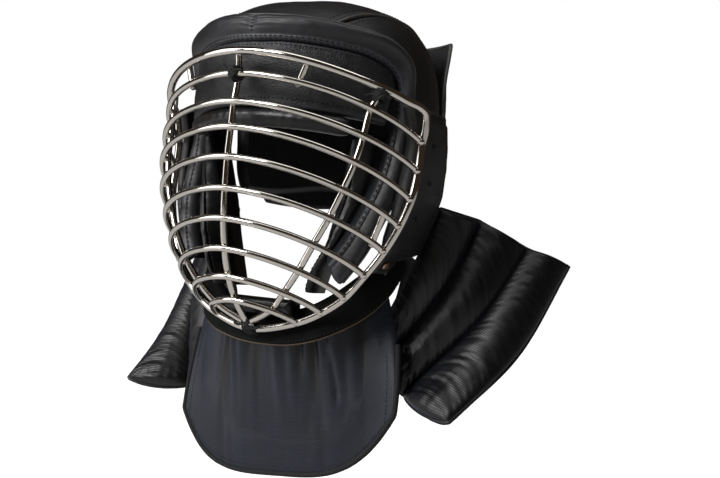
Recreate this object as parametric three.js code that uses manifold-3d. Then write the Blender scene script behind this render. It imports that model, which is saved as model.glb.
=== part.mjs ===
// A stick fighting helmet: a welded steel face cage on a padded leather head shell,
// with a satin throat bib and two quilted shoulder flaps hanging below it.
// Millimetres, +Z up, the face looks along -Y and the wearer's left is +X.
import * as THREE from "three";
import { mergeVertices } from "three/addons/utils/BufferGeometryUtils.js";
import Module from "manifold-3d";

const wasm = await Module();
wasm.setup();

// Where the crown's inside rests on the head, measured from the middle of the face opening.
// The whole helmet is moved so that this point is the origin.
const headSeat = { y: 36, z: 107.6 };

// The outer face of the head shell: a boxy dome about its own centre.
const dome = {
  centre: new THREE.Vector3(0, 36, 10),
  halfWidth: 108,
  front: 114,
  back: 97,
  top: 114,
  bottom: 190,
  power: 2.8,
  frontPower: 2.8, // squareness of the plan in front of the centre
  backPower: 2.1, // and behind it
  narrowing: 0.23, // share of its width lost from the ears to the back of the head
  narrowFrom: 10,
  narrowTo: 110,
  lean: 0.05, // the crown is higher on the wearer's right by this slope
};
const shellThickness = 16;
const seamGap = 0.35; // left between neighbouring pieces
const bandGap = 1; // left behind the front band, whose edge turns sharply at the temples
const napeHeight = -42; // lower edge of the back of the head

// Seam between the crown and a side panel, from the band over the top to the nape
const crownSeam = [
  { x: 66, y: -5, z: 110 },
  { x: 70, y: 45, z: 108 },
  { x: 66, y: 105, z: 84 },
  { x: 60, y: 140, z: 30 },
  { x: 58, y: 140, z: napeHeight },
];
// Front edge of a side panel, from the band round behind the ear to the nape
const earCut = [
  { x: 109, y: 17, z: 31 },
  { x: 109, y: 29, z: 24 },
  { x: 109, y: 32, z: 0 },
  { x: 107, y: 33, z: -25 },
  { x: 106, y: 38, z: napeHeight },
];
const napeSide = { x: 90, y: 115 };
const napeMiddleY = 146;

// Rear panel: its middle line and its side edge, from the top down
const rearRows = [
  { z: 101, middleY: 127, edgeX: 70, edgeY: 104 },
  { z: 88, middleY: 130, edgeX: 76, edgeY: 92 },
  { z: 62, middleY: 133, edgeX: 84, edgeY: 74 },
  { z: 30, middleY: 134, edgeX: 90, edgeY: 64 },
  { z: 0, middleY: 134, edgeX: 92, edgeY: 62 },
  { z: -38, middleY: 132, edgeX: 90, edgeY: 62 },
];
const rearPanel = { thickness: 5, gap: 1.2 };

// Face cage, round stainless rod
const frameRod = 6.4; // diameter of the rim and the upright rods
const barRod = 5.2; // diameter of the cross bars
const rodSides = 6;
const barSweep = 1.4; // radians that half a bar turns through, from the nose line to the rim
const barDrop = 1.7; // how late a bar drops on its way to the rim

// One row per cross bar from the brow down: the nose line and the rim end of each bar
const bars = [
  { noseY: -93, noseZ: 47.5, rimX: 125.8, rimY: -17, rimZ: 3 },
  { noseY: -96, noseZ: 25.5, rimX: 125.2, rimY: -19, rimZ: -19 },
  { noseY: -97.5, noseZ: 6, rimX: 123.3, rimY: -23, rimZ: -41 },
  { noseY: -99, noseZ: -17, rimX: 117.2, rimY: -27, rimZ: -61.5 },
  { noseY: -99, noseZ: -41, rimX: 107.8, rimY: -31, rimZ: -81 },
  { noseY: -98, noseZ: -64, rimX: 95.2, rimY: -36, rimZ: -100.5 },
  { noseY: -94, noseZ: -87, rimX: 80, rimY: -39, rimZ: -118.5 },
  { noseY: -87, noseZ: -108.5, rimX: 61.6, rimY: -42, rimZ: -131.5 },
  { noseY: -77, noseZ: -126.5, rimX: 40.8, rimY: -45, rimZ: -141 },
];

// Half of the rim rod, from the middle of the brow round to the chin
const rimHalf = [
  { x: 0, y: -94.5, z: 64.5 },
  { x: 34, y: -91, z: 62 },
  { x: 64, y: -81.5, z: 56 },
  { x: 90, y: -66, z: 48 },
  { x: 112, y: -46, z: 38.5 },
  { x: 121, y: -33.5, z: 32.5 },
  { x: 126.5, y: -24, z: 29 },
  { x: 128.5, y: -18.5, z: 24.5 },
  { x: 128, y: -17, z: 15 },
  { x: 125.8, y: -17, z: 2 },
  { x: 125.2, y: -19, z: -19 },
  { x: 123.3, y: -23, z: -41 },
  { x: 117.2, y: -27, z: -61.5 },
  { x: 107.8, y: -31, z: -81 },
  { x: 95.2, y: -36, z: -100.5 },
  { x: 80, y: -39, z: -118.5 },
  { x: 61.6, y: -42, z: -131.5 },
  { x: 40.8, y: -45, z: -141 },
  { x: 0, y: -50, z: -149 },
];
const uprightShare = { brow: 0.7, chin: 0.56 }; // where the outer uprights cross each bar
const uprightInset = 4.6; // the uprights run inside the bars
const chinPoint = { y: -56, z: -145 }; // where the three uprights meet
const rodSteps = { rim: 64, bar: 10, upright: 11 };
// Short bars: the brow pair, and one on the wearer's left between two cross bars.
// Each place is a share of the way from the nose line to the rim.
const stubs = { browTop: 0.37, browLow: 0.31, sideTop: 0.86, sideLow: 0.88, sideBar: 3, over: 0.12 };
const stubInset = { y: 3.4, z: -1 };
const tieSizes = { brow: [7.5, 8, 7], temple: [8, 8.5, 7], chin: [14, 8, 6.5] }; // half sizes
const tieClearance = 0.4; // between the lace knots and the rods

// Front band: its outer edge on the shell and its stitched inner edge, from the crown to the jaw
const bandHalf = [
  { outX: 0, outY: -70, outZ: 97, inX: 0, inY: -77, inZ: 77 },
  { outX: 38, outY: -63, outZ: 96.5, inX: 36, inY: -72, inZ: 76 },
  { outX: 70, outY: -47, outZ: 93, inX: 65, inY: -57, inZ: 73 },
  { outX: 101, outY: -29, outZ: 84, inX: 90, inY: -36, inZ: 66 },
  { outX: 111.5, outY: -16, outZ: 69, inX: 100, inY: -21, inZ: 54 },
  { outX: 109, outY: -8, outZ: 48, inX: 101.5, inY: -18, inZ: 34 },
  { outX: 106.3, outY: -4, outZ: 12, inX: 101, inY: -20, inZ: 8 },
  { outX: 107, outY: -12, outZ: -20, inX: 99, inY: -26, inZ: -20 },
  { outX: 102, outY: -24, outZ: -50, inX: 94, inY: -36, inZ: -47 },
  { outX: 92, outY: -34, outZ: -80, inX: 84, inY: -45, inZ: -75 },
  { outX: 78, outY: -42, outZ: -104, inX: 71, inY: -52, inZ: -97 },
];
const bandBulge = 7;
const bandThickness = { brow: 17, side: 14 }; // over the brow its outer edge stands proud of the crown

// Forehead panel and brow pad: their plan curve and heights
const forehead = { centreY: -75, sideY: -38, halfWidth: 90, power: 2.3 };
const foreheadPanel = { endRow: 4, gapToBand: 0.9, lowerMiddle: 25, lowerSide: 18, thickness: 9 };
const browPad = { radius: 7.5, halfWidth: 78, belowPanel: 8.4, behindPanel: 4 };

// Ear panels: one row per height, from the top down. The front edge lies under the rim rod.
const earRows = [
  { z: 30, frontY: -26, rearY: 20, faceX: 121.4 },
  { z: 21, frontY: -23, rearY: 31, faceX: 122.2 },
  { z: 5, frontY: -18.4, rearY: 34, faceX: 122.2 },
  { z: -12, frontY: -20, rearY: 36, faceX: 121.6 },
  { z: -34, frontY: -24, rearY: 35, faceX: 119.9 },
  { z: -52, frontY: -26, rearY: 31, faceX: 116.5 },
  { z: -70, frontY: -26.7, rearY: 28, faceX: 111 },
  { z: -81, frontY: -26.7, rearY: 24, faceX: 109 },
  { z: -87, frontY: -28, rearY: -2, faceX: 104.6 },
  { z: -98, frontY: -27.5, rearY: -4, faceX: 97.5 },
];
const earThickness = { top: 9.8, tab: 4 }; // the tab at the lower end reaches over the chin guard
const earDip = 2.5; // how far the rear edge turns in
const rivet = { y: -20, z: -91, radius: 3.6, height: 2.4, sides: 16 };

// Cheek pads inside the cage: one row per height, from the temple down
const cheekRows = [
  { z: 8, innerX: 72, innerY: -34, outerX: 88, outerY: -24 },
  { z: -18, innerX: 66, innerY: -31, outerX: 86, outerY: -27 },
  { z: -46, innerX: 60, innerY: -28, outerX: 81.5, outerY: -34 },
  { z: -74, innerX: 54, innerY: -28, outerX: 71.5, outerY: -42 },
  { z: -98, innerX: 45, innerY: -31, outerX: 58.5, outerY: -47 },
  { z: -117, innerX: 38, innerY: -33, outerX: 50, outerY: -44 },
];
const cheekPad = { thickness: 20, bulge: 6, waves: 3 };

// Chin pad and the padded chin guard below the cage
const chinPad = { halfWidth: 36, frontY: -51, endY: -49, z: -130.5, height: 13, thickness: 13, bulge: 2 };
const guardRows = [
  { lowX: 0, lowY: -42, lowZ: -161, topX: 0, topY: -35.2, topZ: -136 },
  { lowX: 34, lowY: -39.5, lowZ: -158.5, topX: 34, topY: -31.6, topZ: -130 },
  { lowX: 62, lowY: -35, lowZ: -150, topX: 60, topY: -27, topZ: -117 },
  { lowX: 84, lowY: -16, lowZ: -134, topX: 80, topY: -15, topZ: -99 },
  { lowX: 96, lowY: 3, lowZ: -114, topX: 89, topY: 3, topZ: -85 },
  { lowX: 99, lowY: 14, lowZ: -97, topX: 94, topY: 14, topZ: -76 },
];
// The guard's bulge and thickness are measured away from an upright line behind it.
const guard = { thickness: 7, bulge: 3, turnShare: 0.6, turnY: 20 };

// Throat bib: one row per height, from under the chin guard to the hem
const bib = {
  halfWidth: 108,
  topMiddleZ: -150,
  topEdgeZ: -124,
  hemMiddleZ: -268,
  hemCornerZ: -218,
  hemSkew: 12, // the hem hangs this much lower on the wearer's right, and higher on the left
  cornerPower: 3.8,
  topMiddleY: -31.2,
  hemMiddleY: -8,
  topEdgeY: 6,
  hemEdgeY: -4,
  narrowTop: 12,
  bindingStart: 0.3, // the binding starts this share of the way down
  thickness: 4,
  edgePower: 3, // how sharply the top edge rises toward its ends
  curvePower: 2.2, // and how sharply the bib curves back
  pleats: 9,
  acrossSteps: 27,
  pleatDepth: 3.2,
};
const binding = { radius: 2.2, gap: 0.7, sideSteps: 4 };

// Shoulder flaps: the four seams between the channels, neck side first,
// at the front end, in the middle and at the back end
const flapFronts = [
  { x: 84, y: 22, z: -126 },
  { x: 88, y: 24, z: -162 },
  { x: 104, y: 20, z: -193 },
  { x: 161, y: -6, z: -204 },
];
// How far the front ends of the wearer's right flap hang out and down from those of the left one
const rightFrontShifts = [
  { out: 0, down: 0 },
  { out: 8, down: 16 },
  { out: 22, down: 20 },
  { out: 17, down: 8 },
];
const flapMiddles = [
  { x: 101, y: 27, z: -86 },
  { x: 122, y: 40, z: -106 },
  { x: 150, y: 48, z: -130 },
  { x: 183, y: 54, z: -154 },
];
const flapBacks = [
  { x: 114, y: 34.6, z: -42.8 },
  { x: 132, y: 68, z: -50 },
  { x: 166, y: 90, z: -70 },
  { x: 195, y: 110, z: -82 },
];
const flap = {
  channels: 3,
  seamHalf: 1.6,
  padHalf: 9,
  stepsAcross: 4,
  stepsAlong: 11,
  wrinkles: 5,
  wrinkleDepth: 0.8,
  endTaper: 0.12, // the ends are this share short of a full taper
};

const steel = { color: 0xc9c8c4, metalness: 1, roughness: 0.2 };
const leather = { color: 0x1b1c1f, metalness: 0, roughness: 0.45 };
const satin = { color: 0x1a1c22, metalness: 0, roughness: 0.4 };
const lace = { color: 0x101012, metalness: 0, roughness: 0.8 };
const lining = { color: 0x0d1712, metalness: 0, roughness: 0.7 };

const helmet = new THREE.Group();
const working = new THREE.Group();
working.position.set(0, -headSeat.y, -headSeat.z);
helmet.add(working);

const vec = (x, y, z) => new THREE.Vector3(x, y, z);
const mix = (a, b, t) => a + (b - a) * t;

function addPiece(name, geometry, finish) {
  const mesh = new THREE.Mesh(geometry, new THREE.MeshStandardMaterial(finish));
  mesh.name = name;
  working.add(mesh);
}

// Mirrors rows of a half outline, so that they run from the -X end to the +X end.
function mirrored(points) {
  const other = points.slice(1).map((p) => vec(-p.x, p.y, p.z)).reverse();
  return [...other, ...points];
}

// A smooth line through points, as a function of 0 to 1.
function smoothLine(points) {
  const curve = new THREE.CatmullRomCurve3(points, false, "centripetal");
  return (t) => curve.getPoint(Math.min(1, Math.max(0, t)));
}

function part(line, from, to) {
  return (t) => line(mix(from, to, t));
}

// A closed skin over two grids of points: the outer face and the inner face behind it.
function slab(outer, inner, acrossSteps, alongSteps) {
  const positions = [];
  const faces = [];
  const stride = alongSteps + 1;
  const count = (acrossSteps + 1) * stride;
  for (const face of [outer, inner])
    for (let i = 0; i <= acrossSteps; i += 1)
      for (let j = 0; j <= alongSteps; j += 1) {
        const point = face(i / acrossSteps, j / alongSteps);
        positions.push(point.x, point.y, point.z);
      }
  const quad = (a, b, c, d) => faces.push(a, b, c, a, c, d);
  const at = (i, j) => i * stride + j;
  const behind = (i, j) => count + at(i, j);
  for (let i = 0; i < acrossSteps; i += 1)
    for (let j = 0; j < alongSteps; j += 1) {
      quad(at(i, j), at(i + 1, j), at(i + 1, j + 1), at(i, j + 1));
      quad(behind(i, j), behind(i, j + 1), behind(i + 1, j + 1), behind(i + 1, j));
    }
  for (let i = 0; i < acrossSteps; i += 1) {
    quad(at(i + 1, 0), at(i, 0), behind(i, 0), behind(i + 1, 0));
    quad(at(i, alongSteps), at(i + 1, alongSteps), behind(i + 1, alongSteps), behind(i, alongSteps));
  }
  for (let j = 0; j < alongSteps; j += 1) {
    quad(at(0, j), at(0, j + 1), behind(0, j + 1), behind(0, j));
    quad(at(acrossSteps, j + 1), at(acrossSteps, j), behind(acrossSteps, j), behind(acrossSteps, j + 1));
  }
  return facingOut(positions, faces);
}

// Builds the geometry and turns every face round if the solid is inside out.
function facingOut(positions, faces) {
  let volume = 0;
  const corner = (k) => vec(...positions.slice(3 * k, 3 * k + 3));
  for (let k = 0; k < faces.length; k += 3)
    volume += corner(faces[k]).dot(corner(faces[k + 1]).cross(corner(faces[k + 2])));
  if (volume < 0) faces.reverse();
  const geometry = new THREE.BufferGeometry();
  geometry.setAttribute("position", new THREE.Float32BufferAttribute(positions, 3));
  geometry.setIndex(faces);
  geometry.computeVertexNormals();
  return geometry;
}

function towardCentre(point, depth) {
  const inward = dome.centre.clone().sub(point).normalize();
  return point.clone().addScaledVector(inward, depth);
}

// A wall of even thickness, measured toward the middle of the head.
function headWall(surface, thickness, acrossSteps, alongSteps) {
  return slab(surface, (u, v) => towardCentre(surface(u, v), thickness), acrossSteps, alongSteps);
}

// Moves a point along its line from the dome's centre onto the dome.
function ontoDome(point) {
  const d = point.clone().sub(dome.centre);
  const depth = d.y < 0 ? dome.front : dome.back;
  const planPower = d.y < 0 ? dome.frontPower : dome.backPower;
  const height = d.z > 0 ? dome.top : dome.bottom;
  const width = Math.pow(Math.abs(d.x) / dome.halfWidth, planPower);
  const plan = width + Math.pow(Math.abs(d.y) / depth, planPower);
  const sum = Math.pow(plan, dome.power / planPower) + Math.pow(Math.abs(d.z) / height, dome.power);
  const onDome = dome.centre.clone().addScaledVector(d, Math.pow(sum, -1 / dome.power));
  const behind = THREE.MathUtils.smoothstep(onDome.y, dome.narrowFrom, dome.narrowTo);
  onDome.x *= 1 - dome.narrowing * behind;
  return leaning(onDome);
}

function leaning(point) {
  return vec(point.x, point.y, point.z - dome.lean * point.x);
}

// A four-sided patch between four lines, laid on the dome, with a seam gap all round.
function domePatch(front, rear, left, right) {
  const lengthOf = (line) => line(0).distanceTo(line(0.5)) + line(0.5).distanceTo(line(1));
  const acrossInset = seamGap / lengthOf(front);
  const alongInset = bandGap / lengthOf(left);
  return (across, along) => {
    const u = mix(acrossInset, 1 - acrossInset, across);
    const v = mix(alongInset, 1, along);
    const ruledAlong = front(u).lerp(rear(u), v);
    const ruledAcross = left(v).lerp(right(v), u);
    const corners = front(0).lerp(front(1), u).lerp(rear(0).lerp(rear(1), u), v);
    return ontoDome(ruledAlong.add(ruledAcross).sub(corners));
  };
}

// Face cage

function rodAlong(line, diameter, steps) {
  class Path extends THREE.Curve {
    getPoint(t) {
      return line(t);
    }
    // Even steps of the line's own parameter, so that corners keep their points.
    getUtoTmapping(u) {
      return u;
    }
  }
  const section = new THREE.Shape();
  for (let k = 0; k < rodSides; k += 1) {
    const angle = (2 * Math.PI * k) / rodSides;
    const corner = [(diameter / 2) * Math.cos(angle), (diameter / 2) * Math.sin(angle)];
    if (k === 0) section.moveTo(...corner);
    else section.lineTo(...corner);
  }
  section.closePath();
  return new THREE.ExtrudeGeometry(section, { steps, bevelEnabled: false, extrudePath: new Path() });
}

function solidFrom(geometry) {
  const bare = geometry.clone();
  bare.deleteAttribute("normal");
  bare.deleteAttribute("uv");
  const merged = mergeVertices(bare, 1e-3);
  return new wasm.Manifold(
    new wasm.Mesh({
      numProp: 3,
      vertProperties: new Float32Array(merged.attributes.position.array),
      triVerts: new Uint32Array(merged.index.array),
    }),
  );
}

function geometryFrom(solid) {
  const mesh = solid.getMesh();
  const geometry = new THREE.BufferGeometry();
  geometry.setAttribute("position", new THREE.BufferAttribute(mesh.vertProperties, 3));
  geometry.setIndex(new THREE.BufferAttribute(mesh.triVerts, 1));
  geometry.computeVertexNormals();
  return geometry;
}

// A point on a cross bar; share runs from -1 at one end to 1 at the other.
function barPoint(bar, share) {
  const turn = Math.abs(share) * barSweep;
  const out = (1 - Math.cos(turn)) / (1 - Math.cos(barSweep));
  return vec(
    Math.sign(share) * bar.rimX * (Math.sin(turn) / Math.sin(barSweep)),
    mix(bar.noseY, bar.rimY, out),
    mix(bar.noseZ, bar.rimZ, Math.pow(Math.abs(share), barDrop)),
  );
}

const rimPoints = mirrored(rimHalf.map((p) => vec(p.x, p.y, p.z)));
const browLine = smoothLine(mirrored(rimHalf.slice(0, 6).map((p) => vec(p.x, p.y, p.z))));

// An upright rod behind the bars, from the brow to the chin point.
function uprightLine(side) {
  const inset = (p) => {
    const inward = vec(-p.x, -p.y, 0).normalize();
    return p.addScaledVector(inward, uprightInset);
  };
  const points = [inset(browLine(0.5 + 0.5 * side * (uprightShare.brow + 0.08)))];
  bars.forEach((bar, k) => {
    const share = mix(uprightShare.brow, uprightShare.chin, (k + 1) / bars.length);
    points.push(inset(barPoint(bar, side * share)));
  });
  points.push(vec(0, chinPoint.y, chinPoint.z));
  return smoothLine(points);
}

function stubLine(from, to) {
  return (t) => from.clone().lerp(to, mix(0, 1 + stubs.over, t));
}

// Every rod of the cage as a solid; grown is added to the diameters.
function cageRods(grown) {
  const closed = new THREE.CatmullRomCurve3(rimPoints.slice(0, -1), true, "centripetal");
  const overlap = 0.004; // the rim's two ends run into each other
  const rim = rodAlong((t) => closed.getPoint((t * (1 + overlap)) % 1), frameRod + grown, rodSteps.rim);
  const rods = bars.map((bar) => {
    const line = (t) => barPoint(bar, mix(-1, 1, t));
    return rodAlong(line, barRod + grown, rodSteps.bar);
  });
  for (const side of [-1, 0, 1]) rods.push(rodAlong(uprightLine(side), barRod + grown, rodSteps.upright));
  const inside = (p) => p.add(vec(0, stubInset.y, stubInset.z));
  for (const side of [-1, 1]) {
    const top = inside(browLine(0.5 + 0.5 * side * stubs.browTop));
    rods.push(rodAlong(stubLine(top, inside(barPoint(bars[0], side * stubs.browLow))), barRod + grown, 1));
  }
  const sideTop = inside(barPoint(bars[stubs.sideBar], stubs.sideTop));
  const sideLow = inside(barPoint(bars[stubs.sideBar + 1], stubs.sideLow));
  rods.push(rodAlong(stubLine(sideTop, sideLow), barRod + grown, 1));
  return [rim, ...rods].map(solidFrom);
}

function buildCage() {
  const welded = cageRods(0).reduce((whole, rod) => whole.add(rod));
  addPiece("face_cage", geometryFrom(welded), steel);
}

// Lace knots that tie the cage rods together, hollowed to clear the rods.
function buildTie(name, centre, halfSizes) {
  const knot = new THREE.SphereGeometry(1, 7, 5);
  knot.scale(...halfSizes);
  knot.translate(centre.x, centre.y, centre.z);
  const hollowed = cageRods(2 * tieClearance).reduce((left, rod) => left.subtract(rod), solidFrom(knot));
  const pieces = hollowed.decompose();
  pieces.sort((a, b) => b.volume() - a.volume());
  addPiece(name, geometryFrom(pieces[0]), lace);
}

function buildTies() {
  const crossing = barPoint(bars[0], 0);
  buildTie("tie_brow", vec(0, crossing.y + uprightInset / 2, crossing.z), tieSizes.brow);
  const top = uprightLine(1)(0.012);
  buildTie("tie_temple", vec(top.x, top.y - 1.5, top.z - 2), tieSizes.temple);
  buildTie("tie_chin", vec(0, chinPoint.y + 3.5, chinPoint.z - 2.5), tieSizes.chin);
}

// Head shell

const bandOuterPoints = mirrored(bandHalf.map((r) => vec(r.outX, r.outY, r.outZ)));
const bandInnerPoints = mirrored(bandHalf.map((r) => vec(r.inX, r.inY, r.inZ)));
const bandOuter = smoothLine(bandOuterPoints);
const bandInner = smoothLine(bandInnerPoints);

function buildBand() {
  const surface = (across, along) => {
    const p = leaning(bandOuter(across)).lerp(bandInner(across), along);
    return towardCentre(p, -bandBulge * Math.sin(Math.PI * along));
  };
  const inner = (across, along) => {
    const toSide = THREE.MathUtils.smoothstep(Math.abs(2 * across - 1), 0.4, 0.6);
    return towardCentre(surface(across, along), mix(bandThickness.brow, bandThickness.side, toSide));
  };
  addPiece("front_band", slab(surface, inner, 40, 3), leather);
}

// Where the band's outer edge passes a given place, as a share of its length.
const bandShare = (row) => 0.5 + (0.5 * row) / (bandHalf.length - 1);
const seamRow = 1.6; // the crown seams start here on the band, counted in rows from the middle
const earTopRow = 5.48; // the ear panels start here

function seamLine(side) {
  const start = bandOuter(0.5 + side * (bandShare(seamRow) - 0.5));
  return smoothLine([start, ...crownSeam.map((p) => vec(side * p.x, p.y, p.z))]);
}

function buildCrown() {
  const left = seamLine(-1);
  const right = seamLine(1);
  const front = part(bandOuter, 1 - bandShare(seamRow), bandShare(seamRow));
  const nape = smoothLine([left(1), vec(0, napeMiddleY, napeHeight), right(1)]);
  const surface = domePatch(front, nape, left, right);
  addPiece("crown_panel", headWall(surface, shellThickness, 10, 11), leather);
}

function buildSidePanel(side, name) {
  const seam = seamLine(side);
  const along = (t) => bandOuter(0.5 + side * (mix(bandShare(seamRow), bandShare(earTopRow), t) - 0.5));
  const earEdge = smoothLine([along(1), ...earCut.map((p) => vec(side * p.x, p.y, p.z))]);
  const nape = smoothLine([seam(1), vec(side * napeSide.x, napeSide.y, napeHeight), earEdge(1)]);
  const surface = domePatch(along, nape, seam, earEdge);
  addPiece(name, headWall(surface, shellThickness, 6, 11), leather);
}

// A padded panel over the back of the head. Its top corners stand off the crown as two wings.
function buildRearPanel() {
  const edge = smoothLine(rearRows.map((row) => vec(row.edgeX, row.edgeY, row.z)));
  const middle = smoothLine(rearRows.map((row) => vec(0, row.middleY, row.z)));
  const inner = (across, along) => {
    const turn = mix(-1, 1, across);
    const p = middle(along).lerp(edge(along), Math.pow(Math.abs(turn), 2.2));
    return offDome(vec(edge(along).x * turn, p.y, p.z), rearPanel.gap);
  };
  const outer = (u, v) => towardCentre(inner(u, v), -rearPanel.thickness);
  addPiece("rear_panel", slab(outer, inner, 12, 7), leather);
}

// Moves a point out from the dome until it clears it by a given gap.
function offDome(point, gap) {
  const onDome = ontoDome(point);
  const reach = onDome.distanceTo(dome.centre) + gap;
  if (point.distanceTo(dome.centre) >= reach) return point;
  return towardCentre(onDome, -gap);
}

function foreheadY(x) {
  const share = Math.pow(Math.abs(x) / forehead.halfWidth, forehead.power);
  return mix(forehead.centreY, forehead.sideY, share);
}

// Height of the forehead panel's lower edge.
function foreheadLow(x) {
  const share = Math.pow(x / forehead.halfWidth, 2);
  return mix(foreheadPanel.lowerMiddle, foreheadPanel.lowerSide, share);
}

function buildForehead() {
  const rows = [1 - bandShare(foreheadPanel.endRow), bandShare(foreheadPanel.endRow)];
  const surface = (across, along) => {
    const top = bandInner(mix(rows[0], rows[1], across));
    const z = mix(top.z - foreheadPanel.gapToBand, foreheadLow(top.x), along);
    return vec(top.x, mix(top.y, foreheadY(top.x), along), z);
  };
  addPiece("forehead_panel", headWall(surface, foreheadPanel.thickness, 18, 3), leather);
}

function buildBrowPad() {
  const line = (t) => {
    const x = mix(-browPad.halfWidth, browPad.halfWidth, t);
    return vec(x, foreheadY(x) + browPad.behindPanel, foreheadLow(x) - browPad.belowPanel);
  };
  addPiece("brow_pad", rodAlong(line, 2 * browPad.radius, 16), leather);
}

// A value from a table of rows by height, from the top row down.
function byHeight(rows, column, share) {
  const place = share * (rows.length - 1);
  const k = Math.min(rows.length - 2, Math.floor(place));
  return mix(rows[k][column], rows[k + 1][column], place - k);
}

function buildEarPanel(side, name) {
  const face = (across, along) => {
    const y = mix(byHeight(earRows, "frontY", along), byHeight(earRows, "rearY", along), across);
    const x = byHeight(earRows, "faceX", along) - earDip * Math.pow(across, 3);
    return vec(side * x, y, byHeight(earRows, "z", along));
  };
  const depth = (along) => mix(earThickness.top, earThickness.tab, Math.pow(along, 3));
  const back = (u, v) => face(u, v).add(vec(-side * depth(v), 0, 0));
  addPiece(name, slab(face, back, 4, earRows.length - 1), leather);
}

// A button rivet that closes the tab of an ear panel.
function buildRivet(side, name) {
  const rows = earRows.slice(-2);
  const share = (rows[0].z - rivet.z) / (rows[0].z - rows[1].z);
  const tilt = Math.atan2(rows[0].faceX - rows[1].faceX, rows[0].z - rows[1].z);
  const button = new THREE.CylinderGeometry(0.7 * rivet.radius, rivet.radius, rivet.height, rivet.sides);
  button.rotateZ(-Math.PI / 2);
  button.translate(rivet.height / 2 + seamGap, 0, 0);
  button.rotateY(tilt);
  button.translate(mix(rows[0].faceX, rows[1].faceX, share), rivet.y, rivet.z);
  const solid = solidFrom(button);
  addPiece(name, geometryFrom(side < 0 ? solid.mirror([1, 0, 0]) : solid), steel);
}

function buildCheekPad(side, name) {
  const face = (across, along) => {
    const at = (column) => byHeight(cheekRows, column, along);
    const x = mix(at("innerX"), at("outerX"), across);
    const y = mix(at("innerY"), at("outerY"), across);
    const sections = 0.6 + 0.4 * Math.abs(Math.sin(Math.PI * cheekPad.waves * along));
    const bulge = cheekPad.bulge * Math.sin(Math.PI * across) * sections;
    return vec(side * x, y - bulge, at("z"));
  };
  const back = (u, v) => {
    const p = face(u, v);
    return vec(p.x, p.y + cheekPad.thickness, p.z);
  };
  addPiece(name, slab(face, back, 4, 9), leather);
}

function buildChinPad() {
  const face = (across, along) => {
    const turn = mix(-1, 1, across);
    const x = chinPad.halfWidth * turn;
    const y = mix(chinPad.frontY, chinPad.endY, turn * turn) - chinPad.bulge * Math.sin(Math.PI * along);
    return vec(x, y, chinPad.z + chinPad.height * (0.5 - along));
  };
  const back = (u, v) => face(u, v).add(vec(0, chinPad.thickness, 0));
  addPiece("chin_pad", slab(face, back, 12, 3), leather);
}

const guardOutward = (p) => vec(p.x * guard.turnShare, p.y - guard.turnY, 0).normalize();

function buildChinGuard() {
  const low = smoothLine(mirrored(guardRows.map((r) => vec(r.lowX, r.lowY, r.lowZ))));
  const top = smoothLine(mirrored(guardRows.map((r) => vec(r.topX, r.topY, r.topZ))));
  const face = (across, along) => {
    const p = top(across).lerp(low(across), along);
    return p.addScaledVector(guardOutward(p), guard.bulge * Math.sin(Math.PI * along));
  };
  const back = (u, v) => {
    const p = face(u, v);
    return p.addScaledVector(guardOutward(p), -guard.thickness);
  };
  addPiece("chin_guard", slab(face, back, 22, 3), lining);
}

// Satin parts

function bibHem(x) {
  const turn = x / bib.halfWidth;
  const corner = Math.pow(Math.abs(turn), bib.cornerPower);
  return mix(bib.hemMiddleZ, bib.hemCornerZ, corner) + bib.hemSkew * turn;
}

function bibPoint(across, along) {
  const turn = mix(-1, 1, across);
  const x = turn * (bib.halfWidth - bib.narrowTop * Math.pow(1 - along, 2));
  const topZ = mix(bib.topMiddleZ, bib.topEdgeZ, Math.pow(Math.abs(turn), bib.edgePower));
  const z = mix(topZ, bibHem(x), along);
  const middleY = mix(bib.topMiddleY, bib.hemMiddleY, along);
  const edgeY = mix(bib.topEdgeY, bib.hemEdgeY, along);
  const gather = bib.pleatDepth * Math.pow(1 - along, 1.5) * (1 - Math.pow(turn, 6));
  const curved = mix(middleY, edgeY, Math.pow(Math.abs(turn), bib.curvePower));
  return vec(x, curved + gather * Math.cos(Math.PI * bib.pleats * across), z);
}

function buildBib() {
  const back = (u, v) => bibPoint(u, v).add(vec(0, bib.thickness, 0));
  addPiece("throat_bib", slab(bibPoint, back, bib.acrossSteps, 6), satin);
}

const bindingSteps = bib.acrossSteps + 2 * binding.sideSteps;

// The bib's outline from one side edge round the hem to the other.
function bibOutline(share) {
  const side = binding.sideSteps / bindingSteps;
  if (share < side) return bibPoint(0, mix(bib.bindingStart, 1, share / side));
  if (share > 1 - side) return bibPoint(1, mix(bib.bindingStart, 1, (1 - share) / side));
  return bibPoint((share - side) / (1 - 2 * side), 1);
}

function buildBinding() {
  const line = (t) => {
    const e = 0.02;
    const ahead = bibOutline(Math.min(1, t + e)).sub(bibOutline(Math.max(0, t - e)));
    const away = vec(ahead.z, 0, -ahead.x).normalize();
    const p = bibOutline(t).add(vec(0, bib.thickness / 2, 0));
    return p.addScaledVector(away, binding.radius + binding.gap);
  };
  addPiece("bib_binding", rodAlong(line, 2 * binding.radius, bindingSteps), satin);
}

function flapLinePoint(k, side, along) {
  const { out, down } = side < 0 ? rightFrontShifts[k] : { out: 0, down: 0 };
  const front = vec(side * (flapFronts[k].x + out), flapFronts[k].y, flapFronts[k].z - down);
  const middle = vec(side * flapMiddles[k].x, flapMiddles[k].y, flapMiddles[k].z - down / 2);
  const back = vec(side * flapBacks[k].x, flapBacks[k].y, flapBacks[k].z);
  return smoothLine([front, middle, back])(along);
}

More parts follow.
